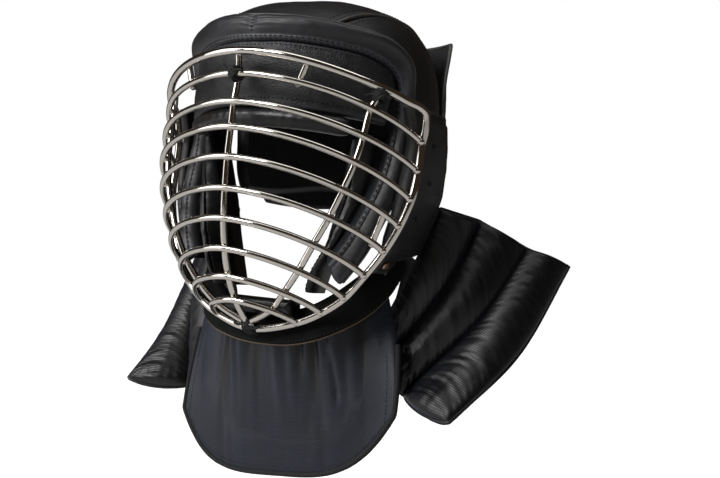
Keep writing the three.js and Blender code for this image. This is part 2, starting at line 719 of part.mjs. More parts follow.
function buildFlap(side, name) {
  const steps = flap.channels * flap.stepsAcross;
  const middle = (across, along) => {
    const place = across * flap.channels;
    const k = Math.min(flap.channels - 1, Math.floor(place));
    return flapLinePoint(k, side, along).lerp(flapLinePoint(k + 1, side, along), place - k);
  };
  const outward = (across, along) => {
    const e = 0.01;
    const du = middle(Math.min(1, across + e), along).sub(middle(Math.max(0, across - e), along));
    const dv = middle(across, Math.min(1, along + e)).sub(middle(across, Math.max(0, along - e)));
    return du.cross(dv).normalize().multiplyScalar(side);
  };
  const half = (across, along) => {
    const swell = Math.abs(Math.sin(Math.PI * flap.channels * across));
    const ends = Math.sqrt(Math.sin(Math.PI * mix(flap.endTaper, 1 - flap.endTaper, along)));
    const wrinkle = flap.wrinkleDepth * Math.sin(2 * Math.PI * flap.wrinkles * along + 2 * across);
    return flap.seamHalf + Math.sqrt(swell) * ends * (flap.padHalf + wrinkle);
  };
  const face = (u, v) => middle(u, v).addScaledVector(outward(u, v), half(u, v));
  const back = (u, v) => middle(u, v).addScaledVector(outward(u, v), -half(u, v));
  addPiece(name, slab(face, back, steps, flap.stepsAlong), satin);
}

buildCage();
buildTies();
buildBand();
buildCrown();
buildRearPanel();
buildForehead();
buildBrowPad();
buildChinPad();
buildChinGuard();
buildBib();
buildBinding();
for (const [side, word] of [
  [-1, "right"],
  [1, "left"],
]) {
  buildSidePanel(side, `side_panel_${word}`);
  buildEarPanel(side, `ear_panel_${word}`);
  buildRivet(side, `rivet_${word}`);
  buildCheekPad(side, `cheek_pad_${word}`);
  buildFlap(side, `shoulder_flap_${word}`);
}

export default helmet;
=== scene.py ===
# Stick fighting helmet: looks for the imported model, Blender 4.5
import math

import bpy
import numpy as np
from mathutils import Matrix, Vector, noise


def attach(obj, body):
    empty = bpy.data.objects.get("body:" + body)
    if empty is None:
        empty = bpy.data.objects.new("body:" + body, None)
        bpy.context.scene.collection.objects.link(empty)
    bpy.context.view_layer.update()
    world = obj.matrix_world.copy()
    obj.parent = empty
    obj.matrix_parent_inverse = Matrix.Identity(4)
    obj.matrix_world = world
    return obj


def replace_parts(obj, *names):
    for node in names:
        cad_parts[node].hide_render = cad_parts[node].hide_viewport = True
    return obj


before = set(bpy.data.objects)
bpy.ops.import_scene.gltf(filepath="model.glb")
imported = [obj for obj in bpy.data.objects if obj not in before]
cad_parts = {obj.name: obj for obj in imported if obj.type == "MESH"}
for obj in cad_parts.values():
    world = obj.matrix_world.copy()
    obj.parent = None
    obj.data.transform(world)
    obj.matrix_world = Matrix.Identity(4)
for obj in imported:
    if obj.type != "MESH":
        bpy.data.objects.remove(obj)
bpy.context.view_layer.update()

# The shape tables below are in millimetres from the middle of the face opening.
# The frame's origin is headSeat, where the crown rests on the head.
headSeat = np.array([0.0, 36.0, 107.6])
domeShape = {
    "centre": (0, 36, 10), "halfWidth": 108, "front": 114, "back": 97, "top": 114, "bottom": 190,
    "power": 2.8, "frontPower": 2.8, "backPower": 2.1,
    "narrowing": 0.23, "narrowFrom": 10, "narrowTo": 110, "lean": 0.05,
}
domeCentre = np.array(domeShape["centre"], float)
seamGap = 0.35
bandGap = 1.0
napeHeight = -42


# Lines and surfaces

def vec(x, y, z):
    x, y, z = np.broadcast_arrays(np.asarray(x, float), np.asarray(y, float), np.asarray(z, float))
    return np.stack([x, y, z], axis=-1)


def mix(a, b, t):
    return a + (b - a) * t


def blendPoints(a, b, t):
    return a + (b - a) * np.asarray(t)[..., None]


def unit(v):
    return v / np.maximum(np.linalg.norm(v, axis=-1, keepdims=True), 1e-9)


def easeStep(x, low, high):
    t = np.clip((x - low) / (high - low), 0, 1)
    return t * t * (3 - 2 * t)


def hump(x, middle, width):
    return np.exp(-((x - middle) / width) ** 2)


# A smooth line through points, as a function of 0 to 1.
def smoothLine(points, perSpan=40):
    p = np.array(points, float)
    p = np.vstack([2 * p[0] - p[1], p, 2 * p[-1] - p[-2]])
    rows = []
    for i in range(1, len(p) - 2):
        d0, d1, d2 = [max(np.linalg.norm(p[i + k] - p[i + k - 1]) ** 0.5, 1e-4) for k in (0, 1, 2)]
        m1 = ((p[i] - p[i - 1]) / d0 - (p[i + 1] - p[i - 1]) / (d0 + d1) + (p[i + 1] - p[i]) / d1) * d1
        m2 = ((p[i + 1] - p[i]) / d1 - (p[i + 2] - p[i]) / (d1 + d2) + (p[i + 2] - p[i + 1]) / d2) * d1
        t = np.linspace(0, 1, perSpan, endpoint=False)[:, None]
        rows.append(p[i] + m1 * t + (3 * (p[i + 1] - p[i]) - 2 * m1 - m2) * t**2
                    + (2 * (p[i] - p[i + 1]) + m1 + m2) * t**3)
    table = np.vstack(rows + [p[-2][None]])
    places = np.linspace(0, 1, len(table))
    return lambda t: np.stack([np.interp(t, places, table[:, k]) for k in range(3)], axis=-1)


def mirrored(rows):
    return [(-x, y, z) for x, y, z in rows[:0:-1]] + list(rows)


def part(line, low, high):
    return lambda t: line(mix(low, high, np.asarray(t)))


def byHeight(rows, column, share):
    values = [row[column] for row in rows]
    return np.interp(share, np.linspace(0, 1, len(values)), values)


def towardCentre(p, depth):
    return p + unit(domeCentre - p) * np.asarray(depth)[..., None]


def ontoDome(p):
    s = domeShape
    d = p - domeCentre
    ahead = d[..., 1] < 0
    depth = np.where(ahead, s["front"], s["back"])
    planPower = np.where(ahead, s["frontPower"], s["backPower"])
    height = np.where(d[..., 2] > 0, s["top"], s["bottom"])
    plan = np.abs(d[..., 0] / s["halfWidth"]) ** planPower + np.abs(d[..., 1] / depth) ** planPower
    total = plan ** (s["power"] / planPower) + np.abs(d[..., 2] / height) ** s["power"]
    q = domeCentre + d * (total ** (-1 / s["power"]))[..., None]
    q[..., 0] *= 1 - s["narrowing"] * easeStep(q[..., 1], s["narrowFrom"], s["narrowTo"])
    return leaning(q)


def leaning(p):
    return vec(p[..., 0], p[..., 1], p[..., 2] - domeShape["lean"] * p[..., 0])


# A four-sided patch between four lines, laid on the dome.
def domePatch(front, rear, left, right):
    def lengthOf(line):
        p = line(np.array([0, 0.5, 1.0]))
        return np.linalg.norm(p[1] - p[0]) + np.linalg.norm(p[2] - p[1])

    acrossInset = seamGap / lengthOf(front)
    alongInset = bandGap / lengthOf(left)
    corners = [front(0.0), front(1.0), rear(0.0), rear(1.0)]

    def surface(across, along):
        u = mix(acrossInset, 1 - acrossInset, across)
        v = mix(alongInset, 1, along)
        ruled = blendPoints(front(u), rear(u), v) + blendPoints(left(v), right(v), u)
        low, lowEnd, high, highEnd = [np.broadcast_to(corner, ruled.shape) for corner in corners]
        low = blendPoints(low, lowEnd, u)
        high = blendPoints(high, highEnd, u)
        return ontoDome(ruled - blendPoints(low, high, v))

    return surface


# Small random dents, the same in every run. Sizes are the widths of the dents in mm.
def dents(p, sizes, seed=0.0):
    scale = np.array(sizes if hasattr(sizes, "__len__") else [sizes] * 3, float)
    flat = (p / scale + seed).reshape(-1, 3)
    return np.array([noise.noise(Vector(q)) for q in flat]).reshape(p.shape[:-1])


# Mesh helpers

# Vertices, faces and one number per vertex, gathered for one mesh
class Bag:
    def __init__(self):
        self.points = []
        self.faces = []
        self.marks = []
        self.slots = []
        self.count = 0

    def add(self, points, faces, marks=0.0):
        points = np.asarray(points, float).reshape(-1, 3)
        self.points.append(points)
        self.marks.append(np.broadcast_to(np.asarray(marks, float), (len(points),)))
        self.faces += [[i + self.count for i in face] for face in faces]
        self.slots += [0] * len(faces)
        self.count += len(points)


def makeObject(name, bag, materials, uv=None):
    points = (np.vstack(bag.points) - headSeat) / 1000
    mesh = bpy.data.meshes.new(name)
    mesh.from_pydata(points.tolist(), [], bag.faces)
    mesh.validate()
    # the per-vertex number is real rubbed wear on vinyl pieces and painted shade in the fold valleys on satin
    # pieces
    marks = mesh.attributes.new("wear_and_shade", "FLOAT", "POINT")
    marks.data.foreach_set("value", np.concatenate(bag.marks).astype(np.float32))
    for material in materials:
        mesh.materials.append(material)
    mesh.polygons.foreach_set("material_index", bag.slots)
    mesh.polygons.foreach_set("use_smooth", [True] * len(mesh.polygons))
    if uv is not None:
        layer = mesh.uv_layers.new(name="cloth")
        corner = np.empty(len(mesh.loops), int)
        mesh.loops.foreach_get("vertex_index", corner)
        layer.data.foreach_set("uv", uv[corner].astype(np.float32).ravel())
    mesh.update()
    piece = bpy.data.objects.new(name, mesh)
    bpy.context.scene.collection.objects.link(piece)
    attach(piece, "root")
    return piece


# A small piece of one material that lies on a pad, such as its stitches, piping or binding
def makeTrim(name, bag, material):
    piece = makeObject(name, bag, [material])
    return piece


# Faces of a closed wall over two grids of points.
def wallFaces(rows, columns):
    count = rows * columns
    faces = []
    sides = []
    for i in range(rows - 1):
        for j in range(columns - 1):
            a = i * columns + j
            b = a + columns
            faces.append([a, b, b + 1, a + 1])
            sides.append([count + a, count + a + 1, count + b + 1, count + b])
    rim = []
    for i in range(rows - 1):
        a = i * columns
        b = a + columns
        rim.append([b, a, count + a, count + b])
        a += columns - 1
        b += columns - 1
        rim.append([a, b, count + b, count + a])
    for j in range(columns - 1):
        rim.append([j, j + 1, count + j + 1, count + j])
        a = (rows - 1) * columns + j
        rim.append([a + 1, a, count + a, count + a + 1])
    return faces, sides, rim


# A closed wall between an outer and an inner grid of points. It turns itself the right way out.
def wallObject(name, outer, inner, materials, marks=0.0, innerSlot=0):
    rows, columns = outer.shape[:2]
    outFaces, inFaces, rim = wallFaces(rows, columns)
    a = outer[:-1, :-1].reshape(-1, 3)
    across = outer[1:, :-1].reshape(-1, 3) - a
    along = outer[:-1, 1:].reshape(-1, 3) - a
    depth = (outer - inner)[:-1, :-1].reshape(-1, 3)
    if np.sum(np.cross(across, along) * depth) < 0:
        outFaces = [f[::-1] for f in outFaces]
        inFaces = [f[::-1] for f in inFaces]
        rim = [f[::-1] for f in rim]
    bag = Bag()
    marks = np.broadcast_to(marks, outer.shape[:2]).ravel()
    points = np.vstack([outer.reshape(-1, 3), inner.reshape(-1, 3)])
    bag.add(points, outFaces + rim, np.concatenate([marks, marks]))
    bag.faces += inFaces
    bag.slots += [innerSlot] * len(inFaces)
    stepU = np.linalg.norm(np.diff(outer, axis=0), axis=-1).mean(axis=1)
    stepV = np.linalg.norm(np.diff(outer, axis=1), axis=-1).mean(axis=0)
    u = np.concatenate([[0], np.cumsum(stepU)])
    v = np.concatenate([[0], np.cumsum(stepV)])
    uv = np.stack(np.meshgrid(u, v, indexing="ij"), axis=-1).reshape(-1, 2) / 1000
    return makeObject(name, bag, materials, np.vstack([uv, uv]))


# Places of 0 to 1 both ways, set closer together near the edges.
def grid(rows, columns, denseAcross=0.0, denseAlong=0.0):
    def places(count, dense):
        t = np.linspace(0, 1, count)
        return mix(t, 0.5 - 0.5 * np.cos(math.pi * t), dense)

    return np.meshgrid(places(rows, denseAcross), places(columns, denseAlong), indexing="ij")


# Distance in mm from the nearest edge of a grid of points.
def edgeDistance(p, edges="udlr"):
    steps = np.linalg.norm(np.diff(p, axis=0), axis=-1)
    across = np.vstack([np.zeros((1, p.shape[1])), np.cumsum(steps, axis=0)])
    steps = np.linalg.norm(np.diff(p, axis=1), axis=-1)
    along = np.hstack([np.zeros((p.shape[0], 1)), np.cumsum(steps, axis=1)])
    far = np.full(p.shape[:2], 1e3)
    options = {"l": across, "r": across[-1:] - across, "u": along, "d": along[:, -1:] - along}
    for edge in edges:
        far = np.minimum(far, options[edge])
    return far


def roundOff(distance, radius):
    return np.sqrt(np.maximum(0, 1 - (1 - np.clip(distance / radius, 0, 1)) ** 2))


# Normals of a grid of points, turned away from a middle point.
def gridNormals(p, middle=domeCentre):
    n = unit(np.cross(np.gradient(p, axis=0), np.gradient(p, axis=1)))
    away = np.sum(n * (p - middle), axis=-1, keepdims=True)
    return n * np.where(away < 0, -1, 1)


# Reads points and normals off a finished grid, at any place of 0 to 1 on it.
def readGrid(points, us, vs, middle=domeCentre):
    normals = gridNormals(points, middle)

    def read(u, v):
        u, v = np.broadcast_arrays(np.asarray(u, float), np.asarray(v, float))
        x = np.interp(u, us, np.arange(len(us)))
        y = np.interp(v, vs, np.arange(len(vs)))
        i = np.clip(x.astype(int), 0, len(us) - 2)
        j = np.clip(y.astype(int), 0, len(vs) - 2)

        def at(values):
            low = blendPoints(values[i, j], values[i + 1, j], x - i)
            high = blendPoints(values[i, j + 1], values[i + 1, j + 1], x - i)
            return blendPoints(low, high, y - j)

        return at(points), unit(at(normals))

    return read


def tubeInto(bag, points, radius, sides=12, mark=0.0, closed=False):
    points = np.asarray(points, float)
    count = len(points)
    radius = np.broadcast_to(np.asarray(radius, float), (count,))
    if closed:
        tangents = unit(np.roll(points, -1, axis=0) - np.roll(points, 1, axis=0))
    else:
        tangents = unit(np.gradient(points, axis=0))
    normal = unit(np.cross(tangents[0], [0.31, 0.2, 0.93]))
    rings = []
    for k in range(count):
        normal = unit(normal - tangents[k] * np.dot(normal, tangents[k]))
        side = np.cross(tangents[k], normal)
        turn = np.linspace(0, 2 * math.pi, sides, endpoint=False)[:, None]
        rings.append(points[k] + radius[k] * (np.cos(turn) * normal + np.sin(turn) * side))
    faces = []
    last = count if closed else count - 1
    for k in range(last):
        a = k * sides
        b = ((k + 1) % count) * sides
        for i in range(sides):
            j = (i + 1) % sides
            faces.append([a + i, a + j, b + j, b + i])
    if not closed:
        for k, away in ((0, -1), (count - 1, 1)):  # rounded ends
            tip = points[k] + tangents[k] * away * radius[k] * 0.55
            rings.append(points[k] + (rings[k] - points[k]) * 0.72 + tangents[k] * away * radius[k] * 0.4)
            rings.append(tip[None])
            first = sum(len(r) for r in rings[:-2])
            a = k * sides
            for i in range(sides):
                j = (i + 1) % sides
                quad = [a + i, first + i, first + j, a + j]
                cap = [first + i, first + sides, first + j]
                faces.append(quad if away < 0 else quad[::-1])
                faces.append(cap if away < 0 else cap[::-1])
    marks = np.broadcast_to(np.asarray(mark, float), (count,)) if np.ndim(mark) else None
    if marks is not None:
        extra = [] if closed else [marks[0]] * (sides + 1) + [marks[-1]] * (sides + 1)
        mark = np.concatenate([np.repeat(marks, sides), extra])
    bag.add(np.vstack(rings), faces, mark)


def blobInto(bag, middle, axes, sides=10, rings=6):
    points = [middle + axes[2]]
    for i in range(1, rings):
        lift = math.cos(math.pi * i / rings)
        reach = math.sin(math.pi * i / rings)
        for k in range(sides):
            turn = 2 * math.pi * k / sides
            out = math.cos(turn) * axes[0] + math.sin(turn) * axes[1]
            points.append(middle + reach * out + lift * axes[2])
    points.append(middle - axes[2])
    faces = []
    for k in range(sides):
        j = (k + 1) % sides
        faces.append([0, 1 + k, 1 + j])
        for i in range(rings - 2):
            a = 1 + i * sides
            faces.append([a + k, a + sides + k, a + sides + j, a + j])
        a = 1 + (rings - 2) * sides
        faces.append([a + k, len(points) - 1, a + j])
    if np.dot(np.cross(axes[0], axes[1]), axes[2]) < 0:
        faces = [f[::-1] for f in faces]
    bag.add(points, faces)


# Points at even spacing along a polyline, with their tangents.
def evenly(points, spacing, start=0.5):
    lengths = np.concatenate([[0], np.cumsum(np.linalg.norm(np.diff(points, axis=0), axis=1))])
    places = np.arange(start * spacing, lengths[-1], spacing)
    found = np.stack([np.interp(places, lengths, points[:, k]) for k in range(3)], axis=-1)
    ahead = np.stack([np.interp(places + 0.5, lengths, points[:, k]) for k in range(3)], axis=-1)
    behind = np.stack([np.interp(places - 0.5, lengths, points[:, k]) for k in range(3)], axis=-1)
    return found, unit(ahead - behind), places / lengths[-1]


# A row of stitches lying on a surface along a line of points.
def stitchRow(bag, points, normals, look):
    found, tangents, shares = evenly(points, look["spacing"])
    places = np.linspace(0, 1, len(points))
    lengths = np.concatenate([[0], np.cumsum(np.linalg.norm(np.diff(points, axis=0), axis=1))])
    at = np.interp(shares, lengths / lengths[-1], places)
    for p, t, s in zip(found, tangents, at):
        n = unit(np.array([np.interp(s, places, normals[:, k]) for k in range(3)]))
        side = np.cross(n, t)
        sink = p + n * look["proud"]
        axes = [t * look["length"] / 2, side * look["radius"], n * look["radius"]]
        blobInto(bag, sink, axes, 6, 4)


# Materials

def linearColour(code):
    channels = [int(code[i : i + 2], 16) / 255 for i in (1, 3, 5)]
    return tuple(c / 12.92 if c <= 0.04045 else ((c + 0.055) / 1.055) ** 2.4 for c in channels) + (1.0,)


def addNode(material, kind, inputs=None, **settings):
    node = material.node_tree.nodes.new("ShaderNode" + kind)
    for name, value in settings.items():
        setattr(node, name, value)
    for name, value in (inputs or {}).items():
        if isinstance(value, bpy.types.NodeSocket):
            material.node_tree.links.new(value, node.inputs[name])
        else:
            node.inputs[name].default_value = value
    return node


def newMaterial(name):
    material = bpy.data.materials.new(name)
    material.use_nodes = True
    return material, material.node_tree.nodes["Principled BSDF"], material.node_tree.links


def mm(size):
    return 1000.0 / size  # texture scale for a feature of this many millimetres


def ribScale(spacing):
    return mm(spacing) * math.pi / 10  # a wave texture's bands are pi / 10 apart at scale 1


# Polished stainless rod: bright, nearly a mirror, with faint drawing marks along it
def polishedStainless():
    m, shader, links = newMaterial("polished_stainless_rod")
    shader.inputs["Base Color"].default_value = linearColour("#d4cfc8")
    shader.inputs["Metallic"].default_value = 1.0
    place = addNode(m, "TexCoord")
    smudge = addNode(m, "TexNoise", {"Vector": place.outputs["Object"], "Scale": mm(14), "Detail": 4.0})
    polish = addNode(m, "MapRange", {"Value": smudge.outputs["Fac"], "To Min": 0.05, "To Max": 0.15})
    links.new(polish.outputs["Result"], shader.inputs["Roughness"])
    scratch = addNode(m, "TexNoise", {"Vector": place.outputs["Object"], "Scale": mm(0.9), "Detail": 3.0})
    bump = addNode(m, "Bump", {"Height": scratch.outputs["Fac"], "Strength": 0.05, "Distance": 0.0002})
    links.new(bump.outputs["Normal"], shader.inputs["Normal"])
    return m


# Embossed vinyl over foam: soft shine, fine pebble grain, paler where it is rubbed on seams and edges
def grainedVinyl(name, look):
    m, shader, links = newMaterial(name)
    place = addNode(m, "TexCoord")
    cloud = addNode(m, "TexNoise", {"Vector": place.outputs["Object"], "Scale": mm(38), "Detail": 5.0,
                                    "Roughness": 0.6})
    tone = addNode(m, "ValToRGB", {"Fac": cloud.outputs["Fac"]})
    tone.color_ramp.elements[0].position = 0.3
    tone.color_ramp.elements[0].color = linearColour(look["dark"])
    tone.color_ramp.elements[1].position = 0.72
    tone.color_ramp.elements[1].color = linearColour(look["light"])
    wear_and_shade = addNode(m, "Attribute", attribute_name="wear_and_shade")
    speckle = addNode(m, "TexNoise", {"Vector": place.outputs["Object"], "Scale": mm(2.2), "Detail": 3.0})
    rubbed = addNode(m, "Math", {0: wear_and_shade.outputs["Fac"], 1: speckle.outputs["Fac"]}, operation="MULTIPLY")
    worn = addNode(m, "Mix", {0: rubbed.outputs["Value"], 6: tone.outputs["Color"],
                              7: linearColour(look["worn"])}, data_type="RGBA")
    links.new(worn.outputs[2], shader.inputs["Base Color"])
    grain = addNode(m, "TexVoronoi", {"Vector": place.outputs["Object"], "Scale": mm(look["grain"])},
                    feature="DISTANCE_TO_EDGE")
    cell = addNode(m, "MapRange", {"Value": grain.outputs["Distance"], "From Max": 0.25})
    crease = addNode(m, "TexNoise", {"Vector": place.outputs["Object"], "Scale": mm(6), "Detail": 6.0,
                                     "Roughness": 0.65})
    height = addNode(m, "Mix", {"Factor": 0.45, "A": cell.outputs["Result"], "B": crease.outputs["Fac"]})
    bump = addNode(m, "Bump", {"Height": height.outputs[0], "Strength": look["relief"], "Distance": 0.0006})
    links.new(bump.outputs["Normal"], shader.inputs["Normal"])
    gloss = addNode(m, "MapRange", {"Value": crease.outputs["Fac"], "From Min": 0.25, "From Max": 0.75,
                                    "To Min": look["rough"] - 0.07, "To Max": look["rough"] + 0.1})
    links.new(gloss.outputs["Result"], shader.inputs["Roughness"])
    shader.inputs["IOR"].default_value = 1.5
    shader.inputs["Specular IOR Level"].default_value = look.get("specular", 0.5)
    shader.inputs["Coat Weight"].default_value = look["coat"]
    shader.inputs["Coat Roughness"].default_value = 0.28
    return m


# Woven satin: long floats of weft give a sheen across the folds and a fine rib along them; its colour is
# painted darker, towards near black, in the fold valleys as painted shade
def wovenSatin(name, look):
    m, shader, links = newMaterial(name)
    place = addNode(m, "TexCoord")
    flat = addNode(m, "Mapping", {"Vector": place.outputs["UV"]})
    weft = addNode(m, "TexWave", {"Vector": flat.outputs["Vector"], "Scale": ribScale(look["rib"]),
                                  "Distortion": 0.6, "Detail": 2.0, "Detail Scale": 1.5},
                   wave_type="BANDS", bands_direction=look["across"])
    cloud = addNode(m, "TexNoise", {"Vector": place.outputs["Object"], "Scale": mm(30), "Detail": 4.0})
    slub = addNode(m, "Mapping", {"Vector": place.outputs["UV"], "Scale": look["slub"]})
    thread = addNode(m, "TexNoise", {"Vector": slub.outputs["Vector"], "Scale": mm(3.0), "Detail": 3.0})
    mixed = addNode(m, "Mix", {"Factor": 0.5, "A": cloud.outputs["Fac"], "B": thread.outputs["Fac"]})
    tone = addNode(m, "ValToRGB", {"Fac": mixed.outputs[0]})
    tone.color_ramp.elements[0].position = 0.32
    tone.color_ramp.elements[0].color = linearColour(look["dark"])
    tone.color_ramp.elements[1].position = 0.68
    tone.color_ramp.elements[1].color = linearColour(look["light"])
    # painted shade: near black is mixed into the colour by the per-vertex number, which is high in the fold
    # valleys
    valleyShade = addNode(m, "Attribute", attribute_name="wear_and_shade")
    shaded = addNode(m, "Mix", {0: valleyShade.outputs["Fac"], 6: tone.outputs["Color"],
                                7: linearColour("#020203")}, data_type="RGBA")
    links.new(shaded.outputs[2], shader.inputs["Base Color"])
    height = addNode(m, "Mix", {"Factor": 0.4, "A": weft.outputs["Fac"], "B": thread.outputs["Fac"]})
    bump = addNode(m, "Bump", {"Height": height.outputs[0], "Strength": look["relief"], "Distance": 0.0005})
    links.new(bump.outputs["Normal"], shader.inputs["Normal"])
    gloss = addNode(m, "MapRange", {"Value": thread.outputs["Fac"], "To Min": look["rough"] - 0.08,
                                    "To Max": look["rough"] + 0.1})
    links.new(gloss.outputs["Result"], shader.inputs["Roughness"])
    shader.inputs["IOR"].default_value = 1.5
    shader.inputs["Sheen Weight"].default_value = look["sheen"]
    shader.inputs["Sheen Roughness"].default_value = 0.35
    shader.inputs["Sheen Tint"].default_value = linearColour("#8294c8")
    shader.inputs["Anisotropic"].default_value = 0.35
    return m


# Braided or knitted cord and thread: dull, with a small twill rib
def braidedCord(name, dark, light, rib=1.2):
    m, shader, links = newMaterial(name)
    place = addNode(m, "TexCoord")
    twill = addNode(m, "TexWave", {"Vector": place.outputs["Object"], "Scale": ribScale(rib),
                                   "Distortion": 1.5, "Detail": 1.0},
                    wave_type="BANDS", bands_direction="DIAGONAL")
    tone = addNode(m, "ValToRGB", {"Fac": twill.outputs["Fac"]})
    tone.color_ramp.elements[0].color = linearColour(dark)
    tone.color_ramp.elements[1].color = linearColour(light)
    links.new(tone.outputs["Color"], shader.inputs["Base Color"])
    bump = addNode(m, "Bump", {"Height": twill.outputs["Fac"], "Strength": 0.5, "Distance": 0.0003})
    links.new(bump.outputs["Normal"], shader.inputs["Normal"])
    shader.inputs["Roughness"].default_value = 0.8
    return m


# Plated brass button: warm, brushed on the crown
def platedButton():
    m, shader, links = newMaterial("plated_rivet_metal")
    place = addNode(m, "TexCoord")
    grime = addNode(m, "TexNoise", {"Vector": place.outputs["Object"], "Scale": mm(2.5), "Detail": 4.0})
    tone = addNode(m, "ValToRGB", {"Fac": grime.outputs["Fac"]})
    tone.color_ramp.elements[0].color = linearColour("#6b4a38")
    tone.color_ramp.elements[1].color = linearColour("#c9a58c")
    links.new(tone.outputs["Color"], shader.inputs["Base Color"])
    gloss = addNode(m, "MapRange", {"Value": grime.outputs["Fac"], "To Min": 0.25, "To Max": 0.45})
    links.new(gloss.outputs["Result"], shader.inputs["Roughness"])
    shader.inputs["Metallic"].default_value = 1.0
    return m


# Matt studio paper
def studioPaper():
    m, shader, links = newMaterial("studio_paper")
    place = addNode(m, "TexCoord")
    fibre = addNode(m, "TexNoise", {"Vector": place.outputs["Object"], "Scale": 40.0, "Detail": 3.0})
    tone = addNode(m, "ValToRGB", {"Fac": fibre.outputs["Fac"]})
    tone.color_ramp.elements[0].color = linearColour("#f6f6f6")
    tone.color_ramp.elements[1].color = linearColour("#fafafa")
    links.new(tone.outputs["Color"], shader.inputs["Base Color"])
    shader.inputs["Roughness"].default_value = 0.9
    shader.inputs["Emission Color"].default_value = linearColour("#ffffff")
    seen = addNode(m, "LightPath")
    glow = addNode(m, "Math", {0: seen.outputs["Is Camera Ray"], 1: 0.8}, operation="MULTIPLY")
    links.new(glow.outputs["Value"], shader.inputs["Emission Strength"])
    return m


steel = polishedStainless()
shellVinyl = grainedVinyl("grained_vinyl_shell", {
    "dark": "#101114", "light": "#18191d", "worn": "#3c3e44", "grain": 1.3, "relief": 0.35, "rough": 0.42,
    "coat": 0.06})
bandVinyl = grainedVinyl("grained_vinyl_band", {
    "dark": "#17181c", "light": "#212328", "worn": "#55575e", "grain": 1.2, "relief": 0.28, "rough": 0.4,
    "coat": 0.06})
foreheadVinyl = grainedVinyl("grained_vinyl_forehead", {
    "dark": "#151619", "light": "#202126", "worn": "#45484e", "grain": 1.9, "relief": 0.5, "rough": 0.44,
    "coat": 0.05})
earVinyl = grainedVinyl("grained_vinyl_ear", {
    "dark": "#101113", "light": "#17181b", "worn": "#5a554e", "grain": 1.2, "relief": 0.25, "rough": 0.5,
    "coat": 0.02})
cheekVinyl = grainedVinyl("glossy_vinyl_cheek", {
    "dark": "#070708", "light": "#0d0e10", "worn": "#1c1d20", "grain": 1.6, "relief": 0.2, "rough": 0.34,
    "coat": 0.08})
guardVinyl = grainedVinyl("matt_vinyl_chin_guard", {
    "dark": "#030604", "light": "#060b07", "worn": "#161b15", "grain": 1.2, "relief": 0.2, "rough": 0.75,
    "coat": 0.0, "specular": 0.15})
bibSatin = wovenSatin("woven_satin_bib", {
    "dark": "#0b0f18", "light": "#171e2e", "rib": 1.5, "across": "Y", "slub": (0.12, 1.0, 1.0), "relief": 0.3,
    "rough": 0.42, "sheen": 0.35})
flapSatin = wovenSatin("woven_satin_flaps", {
    "dark": "#040507", "light": "#090a0e", "rib": 1.5, "across": "Y", "slub": (0.15, 1.0, 1.0),
    "relief": 0.35, "rough": 0.4, "sheen": 0.22})
liningKnit = braidedCord("knitted_lining", "#060607", "#0d0d0f", 1.6)
laceBraid = braidedCord("braided_lace", "#08080a", "#1b1b1f", 1.0)
liningTwill = braidedCord("lining_twill", "#07080a", "#12141a", 1.5)
threadGrey = braidedCord("grey_thread", "#24262b", "#3e4148", 0.8)
threadBlack = braidedCord("bonded_thread", "#070708", "#131316", 0.8)
pipingVinyl = grainedVinyl("piping_vinyl", {
    "dark": "#1c1d20", "light": "#292b2f", "worn": "#77746e", "grain": 1.2, "relief": 0.2, "rough": 0.4,
    "coat": 0.1})
tapeBinding = braidedCord("ribbed_binding_tape", "#0b0b0d", "#1a1a1e", 1.4)
tanEdge = braidedCord("tan_edge_thread", "#5a4a3a", "#7d6a54", 0.8)
rivetMetal = platedButton()
paper = studioPaper()
print("materials:", len(bpy.data.materials))

# Face cage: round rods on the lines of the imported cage, with a weld where they meet

cage = {
    "frameRod": 6.4, "barRod": 5.2, "uprightInset": 4.6, "barSweep": 1.4, "barDrop": 1.7,
    "uprightBrow": 0.7, "uprightChin": 0.56, "chinPoint": (0, -56, -145),
    "stubBrow": 0.37, "stubBar": 0.31, "weld": 1.25, "sides": 16,
}
# nose y, nose z, rim x, rim y, rim z of each bar, from the brow down
bars = [
    (-93, 47.5, 125.8, -17, 3), (-96, 25.5, 125.2, -19, -19), (-97.5, 6, 123.3, -23, -41),
    (-99, -17, 117.2, -27, -61.5), (-99, -41, 107.8, -31, -81), (-98, -64, 95.2, -36, -100.5),
    (-94, -87, 80, -39, -118.5), (-87, -108.5, 61.6, -42, -131.5), (-77, -126.5, 40.8, -45, -141),
]
rimHalf = [
    (0, -94.5, 64.5), (34, -91, 62), (64, -81.5, 56), (90, -66, 48), (112, -46, 38.5), (121, -33.5, 32.5),
    (126.5, -24, 29), (128.5, -18.5, 24.5), (128, -17, 15), (125.8, -17, 2), (125.2, -19, -19),
    (123.3, -23, -41), (117.2, -27, -61.5), (107.8, -31, -81), (95.2, -36, -100.5), (80, -39, -118.5),
    (61.6, -42, -131.5), (40.8, -45, -141), (0, -50, -149),
]


def barPoint(bar, share):
    noseY, noseZ, rimX, rimY, rimZ = bar
    turn = np.abs(share) * cage["barSweep"]
    out = (1 - np.cos(turn)) / (1 - math.cos(cage["barSweep"]))
    x = np.sign(share) * rimX * np.sin(turn) / math.sin(cage["barSweep"])
    return vec(x, mix(noseY, rimY, out), mix(noseZ, rimZ, np.abs(share) ** cage["barDrop"]))


browLine = smoothLine(mirrored(rimHalf[:6]))


def uprightPoints(side):
    inset = lambda p: p + unit(np.array([-p[0], -p[1], 0.0])) * cage["uprightInset"]
    points = [inset(browLine(0.5 + 0.5 * side * (cage["uprightBrow"] + 0.08)))]
    for k, bar in enumerate(bars):
        share = mix(cage["uprightBrow"], cage["uprightChin"], (k + 1) / len(bars))
        points.append(inset(barPoint(bar, side * share)))
    return points + [np.array(cage["chinPoint"], float)]


